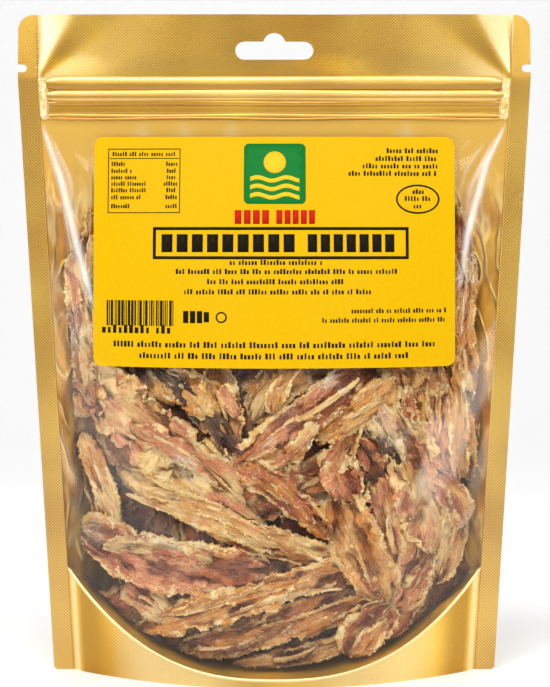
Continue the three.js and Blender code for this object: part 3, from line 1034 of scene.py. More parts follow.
def makeStrandTree():
    tree, given = newTree("fishStrand", {
        "Length": ("Float", 0.08),
        "Width": ("Float", 0.02),
        "Thickness": ("Float", 0.004),
        "Bend": ("Float", 0.0),
        "Curl": ("Float", 0.0),
        "Twist": ("Float", 0.0),
        "Ragged": ("Float", 0.4),
        "Crumble": ("Float", 0.001),
        "Lip": ("Float", 0.3),
        "Hollow": ("Float", 0.2),
        "Draw": ("Float", 0.25),
        "Blunt": ("Float", 5.0),
        "Rows": ("Int", 80),
        "Columns": ("Int", 32),
        "Seed": ("Float", 0.0),
        "Flesh": ("Color", (0.5, 0.3, 0.15, 1.0)),
        "Second": ("Color", (0.5, 0.3, 0.15, 1.0)),
        "Finish": ("Material", None),
    })
    names = "Length Width Thickness Bend Curl Twist Ragged Crumble Lip Hollow Draw Blunt Seed"
    length, width, thickness, bend, curl, twist, ragged, crumble, lip, hollow, draw, blunt, seed = [
        Field(tree, given[name]) for name in names.split()
    ]
    sheet = addNode(tree, "GeometryNodeMeshGrid", {
        "Size X": 2.0, "Size Y": 1.0, "Vertices X": given["Rows"], "Vertices Y": given["Columns"],
    })
    end, wrap, _ = splitXyz(tree, tree.nodes.new("GeometryNodeInputPosition").outputs[0])
    wrap = wrap + 0.5
    frontShare = 0.75  # most of the columns lie on the side that shows
    behind = ((wrap - frontShare) / (1 - frontShare)).math("MAXIMUM", 0.0)
    turn = ((wrap / frontShare).math("MINIMUM", 1.0) + behind) * math.pi
    cosine, sine = turn.math("COSINE"), turn.math("SINE")
    side = cosine.math("SIGN") * abs(cosine) ** 0.8
    far, beside = abs(end), abs(side)
    tip = end.math("SIGN")
    up = sine.math("MAXIMUM", 0.0)
    under = (-sine).math("MAXIMUM", 0.0)
    along = end * length * 0.5
    level = side * width * 0.5

    def at(fineAlong, fineAcross, shift, detail=2.0):
        place = joinXyz(tree, along / fineAlong, level / fineAcross, seed * 7.31 + shift)
        return noiseField(tree, place, 1.0, detail)

    def rimNoise(fineAlong, shift, detail=2.0):  # differs from one long edge to the other
        place = joinXyz(tree, along / fineAlong, side * 1.4, seed * 5.17 + shift)
        return noiseField(tree, place, 1.0, detail)

    # outline
    wobble = (rimNoise(0.020, 1.0) - 0.5) * 2.2 + (rimNoise(0.006, 5.0) - 0.5) * 1.2
    nibble = (rimNoise(0.0028, 7.0, 3.0) - 0.5) * 1.4
    bite = rimNoise(0.008, 11.0).step(0.56, 0.66)
    lopside = (noiseField(tree, joinXyz(tree, tip * 5.0, seed * 1.7, 3.0), 1.0) - 0.5) * 6.0
    slant = (lopside * side).clamp() * far.step(0.45, 1.0)
    taper = (1.0 - far ** blunt).math("MAXIMUM", 0.0) ** 0.5
    swell = (1.0 - draw * end) * (1.0 + ragged * wobble) * (1.0 - ragged * 0.8 * bite)
    half = (width * 0.5 * swell + crumble * nibble) * taper * (1.0 - slant * 0.75)
    across = side * half

    # relief
    fibre = 1.0 - abs((at(0.030, 0.0026, 9.0) - 0.5) * 3.0)
    thread = at(0.010, 0.0011, 13.0)
    flake = at(0.018, 0.0065, 17.0).step(0.47, 0.53)
    dent = at(0.013, 0.011, 23.0) - 0.5
    body = up ** 0.6 * (1.0 - hollow * (1.0 - beside ** 2.0)) - 0.5 * under ** 0.6
    relief = (fibre - 0.5) * 0.32 + (thread - 0.5) * 0.20 + (flake - 0.5) * 0.60 + dent * 1.3
    rolled = lip * beside ** 6.0 * (0.7 + wobble * 0.5 + nibble * 0.4)
    height = thickness * taper ** 0.7 * (body + relief * up ** 0.5 + rolled)

    # torn ends, then twist, bend and curl
    torn = (noiseField(tree, joinXyz(tree, side * 2.6, end, seed * 3.7), 1.0, 3.0) - 0.5) * far ** 3.0
    spread = along + torn * tip * ragged * (0.25 * length + 0.5 * width) * (taper * 3.0).clamp()
    cosine, sine = (twist * end).math("COSINE"), (twist * end).math("SINE")
    arch = length * 0.25 * (end * end - 0.33)
    placedAcross = across * cosine - height * sine + bend * arch
    placedHeight = across * sine + height * cosine + curl * arch
    placed = joinXyz(tree, spread, placedAcross, placedHeight)

    # what the finish reads
    patch = at(0.016, 0.009, 31.0, 3.0).step(0.45, 0.58)
    rim = (beside + (at(0.005, 0.02, 37.0) - 0.5) * 0.7).step(0.55, 0.98) + far ** 12.0
    marks = {
        "ridge": ("FLOAT", (fibre * 0.35 + thread * 0.25 + flake * 0.3 + dent * 0.6).clamp()),
        "edge": ("FLOAT", rim.clamp()),
        "grain": ("FLOAT_VECTOR", joinXyz(tree, along, level, seed)),
        "flesh": ("FLOAT_COLOR", mixColour(tree, patch, given["Flesh"], given["Second"])),
    }
    geometry = sheet.outputs["Mesh"]
    for name, (kind, value) in marks.items():
        inputs = {"Geometry": geometry, "Name": name, "Value": value}
        geometry = addNode(tree, "GeometryNodeStoreNamedAttribute", inputs, data_type=kind).outputs[0]
    moved = addNode(tree, "GeometryNodeSetPosition", {"Geometry": geometry, "Position": placed})
    inputs = {"Geometry": moved.outputs[0], "Distance": 0.00002}
    merged = addNode(tree, "GeometryNodeMergeByDistance", inputs)
    outward = addNode(tree, "GeometryNodeFlipFaces", {"Mesh": merged.outputs[0]})
    return closeTree(tree, outward.outputs[0], given["Finish"])


strandTree = makeStrandTree()

fishMarks = [(name, "FLOAT", "value", 1) for name in ("ridge", "edge", "sunk")]
fishMarks += [("grain", "FLOAT_VECTOR", "vector", 3), ("flesh", "FLOAT_COLOR", "color", 4)]

flesh = {
    "cream": linear(255, 218, 150),
    "tan": linear(234, 172, 94),
    "amber": linear(222, 144, 52),
    "red": linear(196, 104, 56),
    "pink": linear(228, 150, 106),
    "brown": linear(138, 76, 40),
    "maroon": linear(80, 44, 34),
    "bark": linear(100, 72, 50),
}

fillets = {
    # middle across and up, length and width in mm; lean from level; mm behind the film;
    # the two colours; how many strips and threads
    "front": [
        (-42, 94, 96, 28, -36, 2.0, "cream", "pink", 1, 2),
        (-27, 106, 56, 9, -47, 2.5, "maroon", "bark", 0, 1),
        (4, 76, 50, 12, -38, 2.0, "red", "amber", 1, 3),
        (-19, 66, 94, 11, -20, 1.5, "cream", "tan", 1, 7),
        (-8, 58, 72, 7, -17, 4.0, "amber", "cream", 0, 3),
        (-71, 80, 40, 10, -65, 3.0, "cream", "amber", 1, 3),
        (-72, 66, 42, 9, -78, 6.0, "red", "brown", 0, 2),
        (-41, 49, 80, 21, -8, 2.0, "pink", "red", 1, 3),
        (-32, 117, 27, 16, -30, 2.2, "tan", "amber", 1, 2),
        (-20, 112, 32, 15, -72, 2.0, "tan", "pink", 1, 2),
        (0, 118, 30, 18, 50, 2.2, "cream", "tan", 1, 2),
        (9, 105, 64, 18, 37, 1.5, "red", "pink", 1, 2),
        (33, 109, 42, 12, 32, 2.0, "tan", "amber", 1, 2),
        (11, 98, 18, 7, 50, 0.3, "amber", "cream", 0, 0),
        (-3, 89, 32, 7, 20, 3.5, "cream", "tan", 0, 2),
        (28, 97, 27, 11, 60, 2.0, "tan", "red", 0, 1),
        (38, 90, 19, 15, -62, 1.0, "red", "maroon", 0, 1),
        (28, 82, 20, 15, -60, 0.5, "pink", "red", 0, 1),
        (56, 84, 68, 24, -70, 1.2, "cream", "pink", 0, 2),
        (45, 97, 22, 10, -55, 0.6, "bark", "cream", 0, 1),
        (34, 54, 50, 22, -64, 1.0, "tan", "amber", 0, 2),
        (44, 67, 36, 13, -75, 1.8, "pink", "tan", 0, 2),
        (58, 49, 46, 18, 74, 2.5, "pink", "tan", 0, 2),
        (55, 32, 36, 12, 60, 4.0, "red", "tan", 0, 2),
        (54, 113, 34, 18, -75, 3.0, "tan", "red", 1, 2),
        (68, 106, 48, 11, -84, 3.0, "pink", "pink", 0, 2),
        (75, 104, 48, 9, -84, 2.5, "amber", "tan", 0, 2),
        (79, 98, 40, 9, -80, 4.0, "tan", "amber", 0, 2),
        (73, 72, 26, 14, -60, 3.0, "red", "tan", 0, 2),
        (71, 52, 32, 15, 70, 4.0, "amber", "tan", 1, 2),
        (-11, 35, 96, 14, 18, 1.0, "amber", "tan", 1, 4),
        (3, 23, 84, 12, 15, 3.6, "amber", "brown", 1, 3),
        (15, 14, 64, 8, 17, 5.0, "tan", "brown", 1, 2),
        (38, 21, 27, 20, 50, 2.0, "red", "amber", 1, 2),
        (-49, 31, 28, 14, -30, 4.0, "pink", "cream", 1, 2),
        (-30, 40, 34, 12, 12, 7.0, "brown", "maroon", 0, 2),
        (77, 171, 42, 10, -86, 2.5, "tan", "red", 1, 2),
        (77, 150, 46, 11, 85, 3.5, "pink", "tan", 1, 2),
        (78, 131, 40, 12, -84, 2.5, "amber", "tan", 1, 2),
        (-76, 173, 34, 9, 85, 2.5, "tan", "cream", 1, 2),
        (-79, 150, 46, 12, -76, 2.5, "cream", "pink", 1, 2),
        (-77, 124, 38, 13, -82, 3.5, "tan", "amber", 1, 2),
        (22, 124, 40, 14, 8, 4.5, "red", "tan", 0, 1),
        (58, 124, 34, 14, -20, 4.5, "tan", "brown", 0, 1),
        (-50, 122, 30, 12, -50, 4.5, "tan", "brown", 0, 1),
        (14, 80, 36, 20, 15, 4.5, "red", "amber", 0, 2),
        (42, 87, 30, 16, -60, 3.5, "pink", "red", 0, 1),
        (-64, 93, 40, 12, -60, 5.0, "tan", "brown", 0, 1),
        (17, 31, 60, 12, 16, 3.6, "amber", "red", 0, 2),
        (-38, 83, 34, 15, -32, 2.6, "cream", "tan", 0, 0),
    ],
    # each kind of strand: a pair is a range to draw from
    "broad": {
        "Bend": (-0.25, 0.25), "Curl": (-0.12, 0.02), "Twist": (-0.25, 0.25),
        "Ragged": (0.3, 0.45), "Crumble": (0.0010, 0.0022), "Lip": (0.3, 0.8),
        "Hollow": (0.1, 0.5), "Draw": (-0.3, 0.3), "Blunt": (4.0, 9.0),
    },
    "strip": {
        "Bend": (-0.4, 0.4), "Curl": (-0.10, 0.06), "Twist": (-0.7, 0.7),
        "Ragged": (0.45, 0.7), "Crumble": (0.0004, 0.001), "Lip": (0.0, 0.6),
        "Hollow": 0.1, "Draw": (-0.4, 0.4), "Blunt": (4.0, 8.0),
    },
    "thread": {
        "Bend": (-0.4, 0.4), "Curl": (-0.15, 0.05), "Twist": (-1.2, 1.2),
        "Ragged": 0.5, "Crumble": 0.0003, "Lip": 0.0,
        "Hollow": 0.0, "Draw": (-0.5, 0.5), "Blunt": 3.0,
    },
    "behind": {
        "Bend": (-0.3, 0.3), "Curl": (-0.1, 0.1), "Twist": (-0.5, 0.5),
        "Ragged": 0.5, "Crumble": 0.001, "Lip": 0.3,
        "Hollow": 0.2, "Draw": (-0.4, 0.4), "Blunt": 5.0,
    },
    "threadShare": 0.4,  # of the threads listed above
    "behindCount": 110,
    # darker tones for the strands further in, partly their own colours and partly painted shade
    "behindColours": ["red", "brown", "maroon", "amber", "brown", "bark"],
    "behindHeights": (0.024, 0.185),
    "behindInset": 0.020,  # from the seals
    "behindHigh": 0.12,  # from here up the inset is the next one
    "behindInsetHigh": 0.036,
    "filmGap": 0.0005,  # what stays free of fish, and over what depth they bend away from it
    "filmEase": 0.0016,
    "backGap": 0.002,
    "backEase": 0.003,
    "sealGap": 0.003,
    "sealEase": 0.008,
    "floorGap": 0.0004,
    "floorEase": 0.004,
    "sunk": (0.0015, 0.009),  # how deep the fish are at the start and end of the painted shade
    "upperFrom": 88,  # mm: what goes into which piece
    "rightFrom": -5,
    "seed": 41,
    "seedStep": 200,  # between the first strands of two pieces
    "crumbSeed": 3,
}


def easeOver(value, limit, room):  # follows value, then bends to stay under limit
    low = limit - room
    return np.where(value > low, low + room * np.tanh((value - low) / room), value)


def turned(lean, along, across):  # a step along and across a strand, as a step in x and z
    cosine, sine = math.cos(math.radians(lean)), math.sin(math.radians(lean))
    return along * cosine - across * sine, along * sine + across * cosine


def layStrand(mesh, strand):  # from its own frame onto the inside of the film
    along, across, height = pointsOf(mesh).T
    dx, dz = turned(strand["lean"], along, across)
    x, z = strand["x"] + dx, strand["z"] + dz
    x = np.sign(x) * easeOver(np.abs(x), sealEdge(z) - fillets["sealGap"], fillets["sealEase"])
    floor = bow(x) + pouch["gussetRise"] + fillets["floorGap"]
    z = -easeOver(-z, -floor, fillets["floorEase"])
    limit = filmOut(x, z) - fillets["filmGap"]
    out = easeOver(limit - strand["depth"] + height, limit, fillets["filmEase"])
    out = -easeOver(-out, backOut(x, z) - fillets["backGap"], fillets["backEase"])
    movePoints(mesh, np.stack([x, -out, z], axis=1))
    # how far in from the film, which the finish turns into painted shade
    return markPoints(mesh, "sunk", smooth(limit - out, *fillets["sunk"]))


def shapeOf(kind, rng):
    shape = fillets[kind].items()
    return {name: rng.uniform(*value) if isinstance(value, tuple) else value for name, value in shape}


def strandsOf(entry, rng):  # a fillet is one broad strand with narrower strips and threads torn along it
    x, z, length, width, lean, depth, tone, second, strips, threads = entry
    x, z, length, width, depth = (value / 1000 for value in (x, z, length, width, depth))
    thick = 0.0026 + 0.10 * width
    threads = round(threads * fillets["threadShare"])

    def beside(slide, off):
        dx, dz = turned(lean, slide, off)
        return {"x": x + dx, "z": z + dz}

    def spreadOut(index, count, share, jitter):  # side by side over a share of the width
        return ((index + 0.5) / count - 0.5) * width * share + rng.uniform(-jitter, jitter) * width

    yield {
        "x": x, "z": z, "lean": lean, "depth": depth + 1.2 * thick,
        "Length": length, "Width": width, "Thickness": thick, **shapeOf("broad", rng),
        "Rows": round(24 + length * 1500), "Columns": round(18 + width * 1300),
        "Flesh": flesh[tone], "Second": flesh[second],
    }
    for index in range(strips):
        off = spreadOut(index, strips, 0.9, 0.2)
        narrow = rng.uniform(0.18, 0.32) * width + 0.0015
        yield {
            **beside(rng.uniform(-0.18, 0.18) * length, off),
            "lean": lean + rng.uniform(-6, 6), "depth": depth + rng.uniform(0.3, 0.9) * thick,
            "Length": length * rng.uniform(0.45, 0.8), "Width": narrow, "Thickness": 0.0011 + 0.15 * narrow,
            **shapeOf("strip", rng), "Rows": round(16 + length * 700), "Columns": 20,
            "Flesh": flesh[rng.choice([tone, second, "cream"])], "Second": flesh[second],
        }
    for index in range(threads):
        off = spreadOut(index, threads, 0.95, 0.1)
        narrow = rng.uniform(0.0012, 0.0026)
        yield {
            **beside(rng.uniform(-0.25, 0.25) * length, off),
            "lean": lean + rng.uniform(-5, 5), "depth": depth + rng.uniform(0.15, 0.6) * thick,
            "Length": length * rng.uniform(0.3, 0.6), "Width": narrow, "Thickness": narrow * 0.6,
            **shapeOf("thread", rng), "Rows": round(10 + length * 400), "Columns": 12,
            "Flesh": flesh[rng.choice([tone, "cream", "tan"])], "Second": flesh["cream"],
        }


def strandsBehind(rng):  # plainer pieces that fill the gaps further in
    for _ in range(fillets["behindCount"]):
        z = rng.uniform(*fillets["behindHeights"])
        inset = fillets["behindInsetHigh" if z > fillets["behindHigh"] else "behindInset"]
        reach = float(sealEdge(z)) - inset
        yield {
            "x": rng.uniform(-reach, reach), "z": z, "lean": rng.uniform(-90, 90),
            "depth": rng.uniform(0.010, 0.018), "Length": rng.uniform(0.035, 0.07),
            "Width": rng.uniform(0.012, 0.024), "Thickness": 0.005, **shapeOf("behind", rng),
            "Rows": 34, "Columns": 18,
            "Flesh": flesh[rng.choice(fillets["behindColours"])], "Second": flesh["brown"],
        }


def fishPiece(name, strands, firstSeed):
    strands = list(strands)
    holders = []
    for index, strand in enumerate(strands):
        values = {**strand, "Seed": float(firstSeed + index), "Finish": driedFish}
        holders.append(holdTree(strandTree, values))
    meshes = [layStrand(mesh, strand) for mesh, strand in zip(bakeHolders(holders), strands)]
    return addPiece(name, joinMeshes(name, meshes, fishMarks), driedFish, "fillets")


def makeCrumbTree():
    tree, given = newTree("fishCrumbs", {
        "Strands": ("Geometry", None),
        "Density": ("Float", 210000.0),
        "Least": ("Float", 0.0003),
        "Most": ("Float", 0.0009),
        "Seed": ("Int", 3),
        "Finish": ("Material", None),
    })
    edge = addNode(tree, "GeometryNodeInputNamedAttribute", {"Name": "edge"}, data_type="FLOAT")
    thickly = Field(tree, edge.outputs[0]) * given["Density"]
    inputs = {"Mesh": given["Strands"], "Density": thickly, "Seed": given["Seed"]}
    spots = addNode(tree, "GeometryNodeDistributePointsOnFaces", inputs)
    sizes = {index: joinXyz(tree, *[given[name]] * 3) for index, name in enumerate(("Least", "Most"))}
    size = addNode(tree, "FunctionNodeRandomValue", sizes, data_type="FLOAT_VECTOR")
    turn = addNode(tree, "FunctionNodeRandomValue", {1: (6.28, 6.28, 6.28)}, data_type="FLOAT_VECTOR")
    crumb = addNode(tree, "GeometryNodeMeshIcoSphere", {"Radius": 1.0, "Subdivisions": 1})
    bits = addNode(tree, "GeometryNodeInstanceOnPoints", {
        "Points": spots.outputs["Points"],
        "Instance": crumb.outputs[0],
        "Rotation": turn.outputs[0],
        "Scale": size.outputs[0],
    })
    return closeTree(tree, bits.outputs[0], given["Finish"])


rng = random.Random(fillets["seed"])
groups = {"fillets_upper": [], "fillets_right": [], "fillets_left": []}
for entry in fillets["front"]:
    if entry[1] > fillets["upperFrom"]:
        name = "fillets_upper"
    else:
        name = "fillets_right" if entry[0] > fillets["rightFrom"] else "fillets_left"
    groups[name] += strandsOf(entry, rng)
shown = []
for name, strands in groups.items():
    shown.append(fishPiece(name, strands, 1 + fillets["seedStep"] * len(shown)))
fishPiece("fillets_behind", strandsBehind(rng), 1 + fillets["seedStep"] * len(shown))

crumbTree = makeCrumbTree()
holders = []
for index, piece in enumerate(shown):
    values = {"Finish": driedFish, "Seed": fillets["crumbSeed"] + index}
    holders.append(holdTree(crumbTree, values, piece.data.copy()))
crumbs = joinMeshes("crumbs", bakeHolders(holders), fishMarks)
addPiece("fillet_crumbs", crumbs, driedFish, "fillets")


# the heap's core: what the eye meets between the pieces, painted dark for the shade deep in the heap

core = {
    "inset": 0.022,
    "frontShare": 0.40,
    "backShare": 0.5,
    "low": 0.020,  # over the weld's bow, taken over the half width below
    "bowReach": 0.07,
    "top": 0.182,
    "lump": 0.0022,
    "grid": (60, 60),
}


def coreFace(side):
    def place(u, t):
        low = bow(u * core["bowReach"]) + core["low"]
        z = low + (core["top"] - low) * t
        x = u * (sealEdge(z) - core["inset"])
        if side < 0:
            out = bulge(x, z, pouch["frontDepth"]) * core["frontShare"]
        else:
            out = backOut(x, z) * core["backShare"]
        rim = (1 - u ** 8) * (1 - (2 * t - 1) ** 8)
        lump = core["lump"] * np.sin(x * 210 + 3 * np.sin(z * 130)) * np.sin(z * 190 + 2 * np.sin(x * 150))
        return x, side * (out + lump) * rim, z

    points, faces = gridOver(*core["grid"], place)
    return meshFrom("coreFace", points, flip(faces) if side > 0 else faces)


def closeSeams(mesh):  # points that lie on each other become one
    work = bmesh.new()
    work.from_mesh(mesh)
    bmesh.ops.remove_doubles(work, verts=work.verts, dist=0.000001)
    work.to_mesh(mesh)
    work.free()
    return mesh


coreMesh = closeSeams(joinMeshes("core", [coreFace(-1), coreFace(1)]))
addPiece("fillet_core", coreMesh, deepFish, "fillets")


# label and its print, which lies on the film

def labelOut(x, z):
    return filmOut(x, z) + label["stand"]


def roundedLoop(left, low, right, high, radius):
    left, low, right, high = left + radius, low + radius, right - radius, high - radius
    corners = [(right, low, -90), (right, high, 0), (left, high, 90), (left, low, 180)]
    return [p for x, z, start in corners for p in arc(x, z, radius, start, start + 90, 6)]


half = label["width"] / 2
labelLoop = roundedLoop(-half, label["foot"], half, label["foot"] + label["height"], label["corner"])
points, faces = cutSheet([labelLoop], label["pitch"], lambda x, z: (x, -labelOut(x, z), z))
labelMesh = thicken(meshFrom("labelSheet", points, faces), label["thick"], 0.0)
addPiece("label_sheet", labelMesh, labelPaper, "label")


# the print: bars, fields and outlines in the print's own measure from the label's left foot corner

layout = {
    "lines": [  # left, right, foot, letter height, pitch
        (7.2, 32.6, 84.2, 1.7, 1.0),
        (53.9, 90.7, 40.6, 2.0, 1.25),
        (32.8, 120.2, 37.0, 2.0, 1.25),
        (45.1, 99.9, 33.0, 2.0, 1.25),
        (36.0, 110.2, 29.0, 2.0, 1.25),
        (115.8, 137.0, 85.4, 2.0, 1.25),
        (111.4, 137.0, 82.2, 2.0, 1.25),
        (106.2, 137.0, 79.2, 2.0, 1.25),
        (100.6, 137.0, 76.2, 2.0, 1.25),
        (101.4, 140.2, 21.5, 1.9, 1.1),
        (89.9, 140.2, 17.8, 1.9, 1.1),
        (8.0, 135.8, 8.0, 2.3, 1.42),
        (18.4, 125.0, 3.6, 2.3, 1.42),
        (126.0, 131.6, 68.9, 1.9, 1.2),
        (122.8, 135.2, 66.1, 1.9, 1.2),
        (126.2, 131.4, 63.1, 1.9, 1.2),
        (3.2, 32.4, 13.4, 3.2, 2.2),
    ],
    "rows": [80.2, 77.4, 74.8, 72.2, 69.6, 66.8, 63.2],  # of the table
    "rowTall": 1.7,
    "rowPitch": 0.95,
    "nameLeft": 6.8,
    "nameRight": (13, 22),  # a pair is a range to draw from
    "valueLeft": (27.5, 29.0),
    "valueRight": 34.0,
    "code": (5.4, 32.4, 21.4, 10.2),  # left, right, middle, height
    "codeLine": 0.33,
    "heading": [(26.4, 80.3, 9), (83.9, 119.4, 7)],  # left, right and number of blocks
    "headingSize": (49.2, 0.74, 7.2),  # middle, share of the pitch, height
    "red": [(55.5, 69.9, 4), (71.9, 87.9, 5)],
    "redSize": (59.6, 0.76, 5.6),
    "weight": (37.0, 20.0, 2.7, 2.1),  # left, middle, pitch and width of the blocks beside the code
    "weightTall": [4.8, 4.8, 4.8, 4.0],
    "seed": 5,
}


def makeBarTree():
    tree, given = newTree("inkBars", {
        "Spots": ("Geometry", None),
        "Finish": ("Material", None),
    })
    spots = addNode(tree, "GeometryNodeMeshToPoints", {"Mesh": given["Spots"]})
    block = addNode(tree, "GeometryNodeMeshCube", {"Size": (1.0, 1.0, 1.0)})
    size = addNode(tree, "GeometryNodeInputNamedAttribute", {"Name": "size"}, data_type="FLOAT_VECTOR")
    inputs = {"Points": spots.outputs[0], "Instance": block.outputs["Mesh"], "Scale": size.outputs[0]}
    bars = addNode(tree, "GeometryNodeInstanceOnPoints", inputs)
    return closeTree(tree, bars.outputs[0], given["Finish"])


barTree = makeBarTree()


def toLabel(lx, lz):  # the print's measure to the pouch's frame
    across = lx / label["unitsAcross"] - 0.5
    return across * label["width"], label["foot"] + lz / label["unitsUp"] * label["height"]


def layOnLabel(points):  # y holds the height over the paper
    x, y, z = points.T
    return np.stack([x, -(labelOut(x, z) + label["thick"] / 2) + y, z], axis=1)


def barMesh(bars):  # each bar is its middle and its size
    spots = [toLabel(lx, lz) for lx, lz, _, _ in bars]
    sizes = [(wide / 1000, label["ink"] * 4, tall / 1000) for _, _, wide, tall in bars]
    mesh = meshFrom("bars", [(x, 0.0, z) for x, z in spots], [])
    layer = mesh.attributes.new("size", "FLOAT_VECTOR", "POINT")
    layer.data.foreach_set("vector", np.array(sizes).ravel())
    return mesh


def inkSheet(loops, lift):  # a closed thin field laid on the paper
    loops = [[toLabel(lx, lz) for lx, lz in loop] for loop in loops]
    points, faces = cutSheet(loops, label["inkPitch"], lambda x, z: (x, np.full_like(x, -lift), z))
    return thicken(meshFrom("field", layOnLabel(points), faces), label["ink"], 0.0)


def textLine(rng, left, right, z, tall, pitch):  # a line of words, as bars
    bars, x = [], left
    while x < right - pitch:
        letters = rng.randint(2, 9)
        for _ in range(letters):
            if x > right - pitch:
                break
            wide = pitch * rng.uniform(0.45, 0.72)
            high = tall * rng.choice([0.72, 0.72, 0.72, 1.0, 1.0])
            bars.append((x + pitch / 2, z + high / 2, wide, high))
            x += pitch
        x += pitch * 0.8
    return bars


def blockRow(spans, z, share, tall):  # heavy blocks side by side
    bars = []
    for left, right, count in spans:
        pitch = (right - left) / count
        bars += [(left + (index + 0.5) * pitch, z, pitch * share, tall) for index in range(count)]
    return bars


def outline(left, low, right, high, radius, weight):
    inner = (left + weight, low + weight, right - weight, high - weight, max(radius - weight, 0.05))
    return [roundedLoop(left, low, right, high, radius), roundedLoop(*inner)]


def oval(x, z, wide, tall):
    return [(x + wide * math.cos(a), z + tall * math.sin(a)) for a in np.linspace(0, 2 * math.pi, 49)[:-1]]


def ring(x, z, wide, tall, weight):
    return [oval(x, z, wide, tall), oval(x, z, wide - weight, tall - weight)]


def waveBand(low, left, right, tall, swing):
    x = np.linspace(left, right, 25)
    foot = low + swing * np.sin((x - left) * 0.55)
    return list(zip(x, foot)) + list(zip(x[::-1], foot[::-1] + tall))


def blackBars(rng):
    bars = []
    for line in layout["lines"]:
        bars += textLine(rng, *line)
    for foot in layout["rows"]:
        size = (foot, layout["rowTall"], layout["rowPitch"])
        bars += textLine(rng, layout["nameLeft"], rng.uniform(*layout["nameRight"]), *size)
        bars += textLine(rng, rng.uniform(*layout["valueLeft"]), layout["valueRight"], *size)
    x, right, z, tall = layout["code"]
    while x < right:  # the code of lines
        wide = layout["codeLine"] * rng.choice([1, 1, 2, 3])
        bars.append((x + wide / 2, z, wide, tall))
        x += wide + layout["codeLine"] * rng.choice([1, 1, 2])
    bars += blockRow(layout["heading"], *layout["headingSize"])
    left, z, pitch, wide = layout["weight"]
    return bars + [(left + pitch * index, z, wide, tall) for index, tall in enumerate(layout["weightTall"])]


def inkPiece(name, material, lift, fields, bars=()):
    meshes = [inkSheet(loops, lift) for loops in fields]
    if bars:
        mesh = bakeHolders([holdTree(barTree, {"Finish": material}, barMesh(bars))])[0]
        meshes.append(movePoints(mesh, layOnLabel(pointsOf(mesh))))
    addPiece(name, joinMeshes(name, meshes), material, "label")


blackFields = [
    outline(5.6, 61.2, 34.4, 87.2, 0.2, 0.35),
    [roundedLoop(6.2, 83.05, 33.8, 83.35, 0.1)],
    outline(23.8, 42.8, 124.4, 55.6, 0.3, 1.2),
    ring(128.2, 66.8, 8.7, 5.9, 0.7),
    ring(50.9, 19.9, 2.2, 2.2, 0.6),
]
sunFields = [[waveBand(67.2 + 3.4 * index, 62.0, 81.4, 1.7, 0.7)] for index in range(3)]
sunFields += [[oval(71.7, 81.6, 4.4, 4.4)]]
lift = label["ink"] / 2
inkPiece("print_black", blackInk, lift, blackFields, blackBars(random.Random(layout["seed"])))
inkPiece("print_red", redInk, lift, [], blockRow(layout["red"], *layout["redSize"]))
inkPiece("print_green", greenInk, lift, [[roundedLoop(59.5, 64.8, 83.9, 89.2, 2.0)]])
inkPiece("print_sun", sunInk, 3 * lift, sunFields)
print("label made")


# the set: a pale sweep, soft boxes and the camera

middle = (0.0, 0.0, 0.13)
wallMiddle = (0.0, 1.3, 0.4)
studio = {
    "reach": 3.0,
    "turn": 0.9,  # how far behind the pouch the sweep starts to climb
    "bend": 0.6,
    "wall": 2.5,
    "pale": (0.93, 0.93, 0.93, 1.0),
    "roughness": 0.9,
    "fill": 0.16,  # the light from all round
}


def makeSweep():
    reach, turn, bend = studio["reach"], studio["turn"], studio["bend"]
    angles = np.linspace(0, math.pi / 2, 16)[1:]
    profile = [(-reach, 0.0), (turn, 0.0)]
    profile += [(turn + bend * math.sin(a), bend - bend * math.cos(a)) for a in angles]
    profile += [(turn + bend, studio["wall"])]
    points = [(x, y, z) for y, z in profile for x in (-reach, reach)]
    faces = [(2 * i, 2 * i + 1, 2 * i + 3, 2 * i + 2) for i in range(len(profile) - 1)]
    sweep = bpy.data.objects.new("sweep", meshFrom("sweep", points, faces))
    bpy.context.collection.objects.link(sweep)
    inputs = {"Base Color": studio["pale"], "Roughness": studio["roughness"]}
    sweep.data.materials.append(closeFinish(newFinish("paleSweep")[0], inputs))
    sweep.data.polygons.foreach_set("use_smooth", [True] * len(sweep.data.polygons))


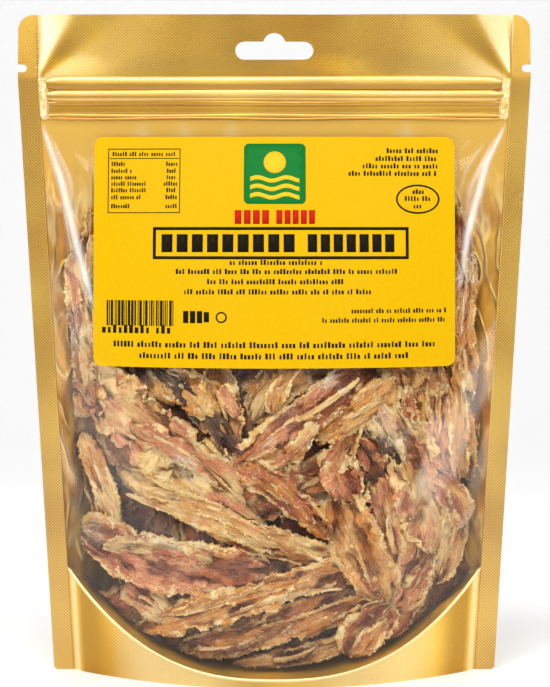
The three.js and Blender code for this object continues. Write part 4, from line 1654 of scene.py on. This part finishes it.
def lookAt(thing, place, aim):
    thing.location = place
    thing.rotation_mode = "QUATERNION"
    thing.rotation_quaternion = (Vector(aim) - Vector(place)).to_track_quat("-Z", "Y")
    bpy.context.collection.objects.link(thing)


def addBox(name, place, aim, width, height, power):  # a soft box of light
    lamp = bpy.data.lights.new(name, "AREA")
    lamp.shape = "RECTANGLE"
    lamp.size = width
    lamp.size_y = height
    lamp.energy = power
    lookAt(bpy.data.objects.new(name, lamp), place, aim)


makeSweep()
addBox("frontBox", (0.0, -2.1, 0.40), middle, 1.1, 0.9, 0.9)
addBox("topBox", (-0.15, -0.72, 1.52), middle, 0.9, 0.42, 14.0)
for side in (-1, 1):
    addBox("highBox", (side * 0.61, -1.15, 1.22), middle, 0.5, 0.35, 4.0)
    addBox("keyBox", (side * 0.66, -1.72, 1.00), middle, 0.42, 0.42, 3.2)
    addBox("rimStrip", (side * 0.60, -0.03, 0.15), middle, 0.05, 0.40, 0.18)
addBox("leftBox", (-0.56, -0.22, 0.24), middle, 0.22, 0.46, 0.62)
addBox("rightBox", (0.578, -0.16, 0.24), middle, 0.10, 0.46, 0.72)
addBox("wallBox", (0.0, 0.5, 1.9), wallMiddle, 2.0, 0.6, 15.0)

world = bpy.data.worlds.new("studio")
world.use_nodes = True
world.node_tree.nodes["Background"].inputs["Color"].default_value = (1.0, 1.0, 1.0, 1.0)
world.node_tree.nodes["Background"].inputs["Strength"].default_value = studio["fill"]
bpy.context.scene.world = world
bpy.context.scene.view_settings.view_transform = "Standard"

shot = {
    "place": (0.0003, -0.90, 0.1787),
    "aim": (0.0003, 0.0, 0.1352),
    "spanHigh": 0.2830,  # what the picture's height takes in at the seals
    "sensor": 36.0,
}
camera = bpy.data.objects.new("camera", bpy.data.cameras.new("camera"))
lookAt(camera, shot["place"], shot["aim"])
camera.data.sensor_width = shot["sensor"]
camera.data.lens = shot["sensor"] * (Vector(shot["aim"]) - Vector(shot["place"])).length / shot["spanHigh"]
bpy.context.scene.camera = camera

print("scene made")
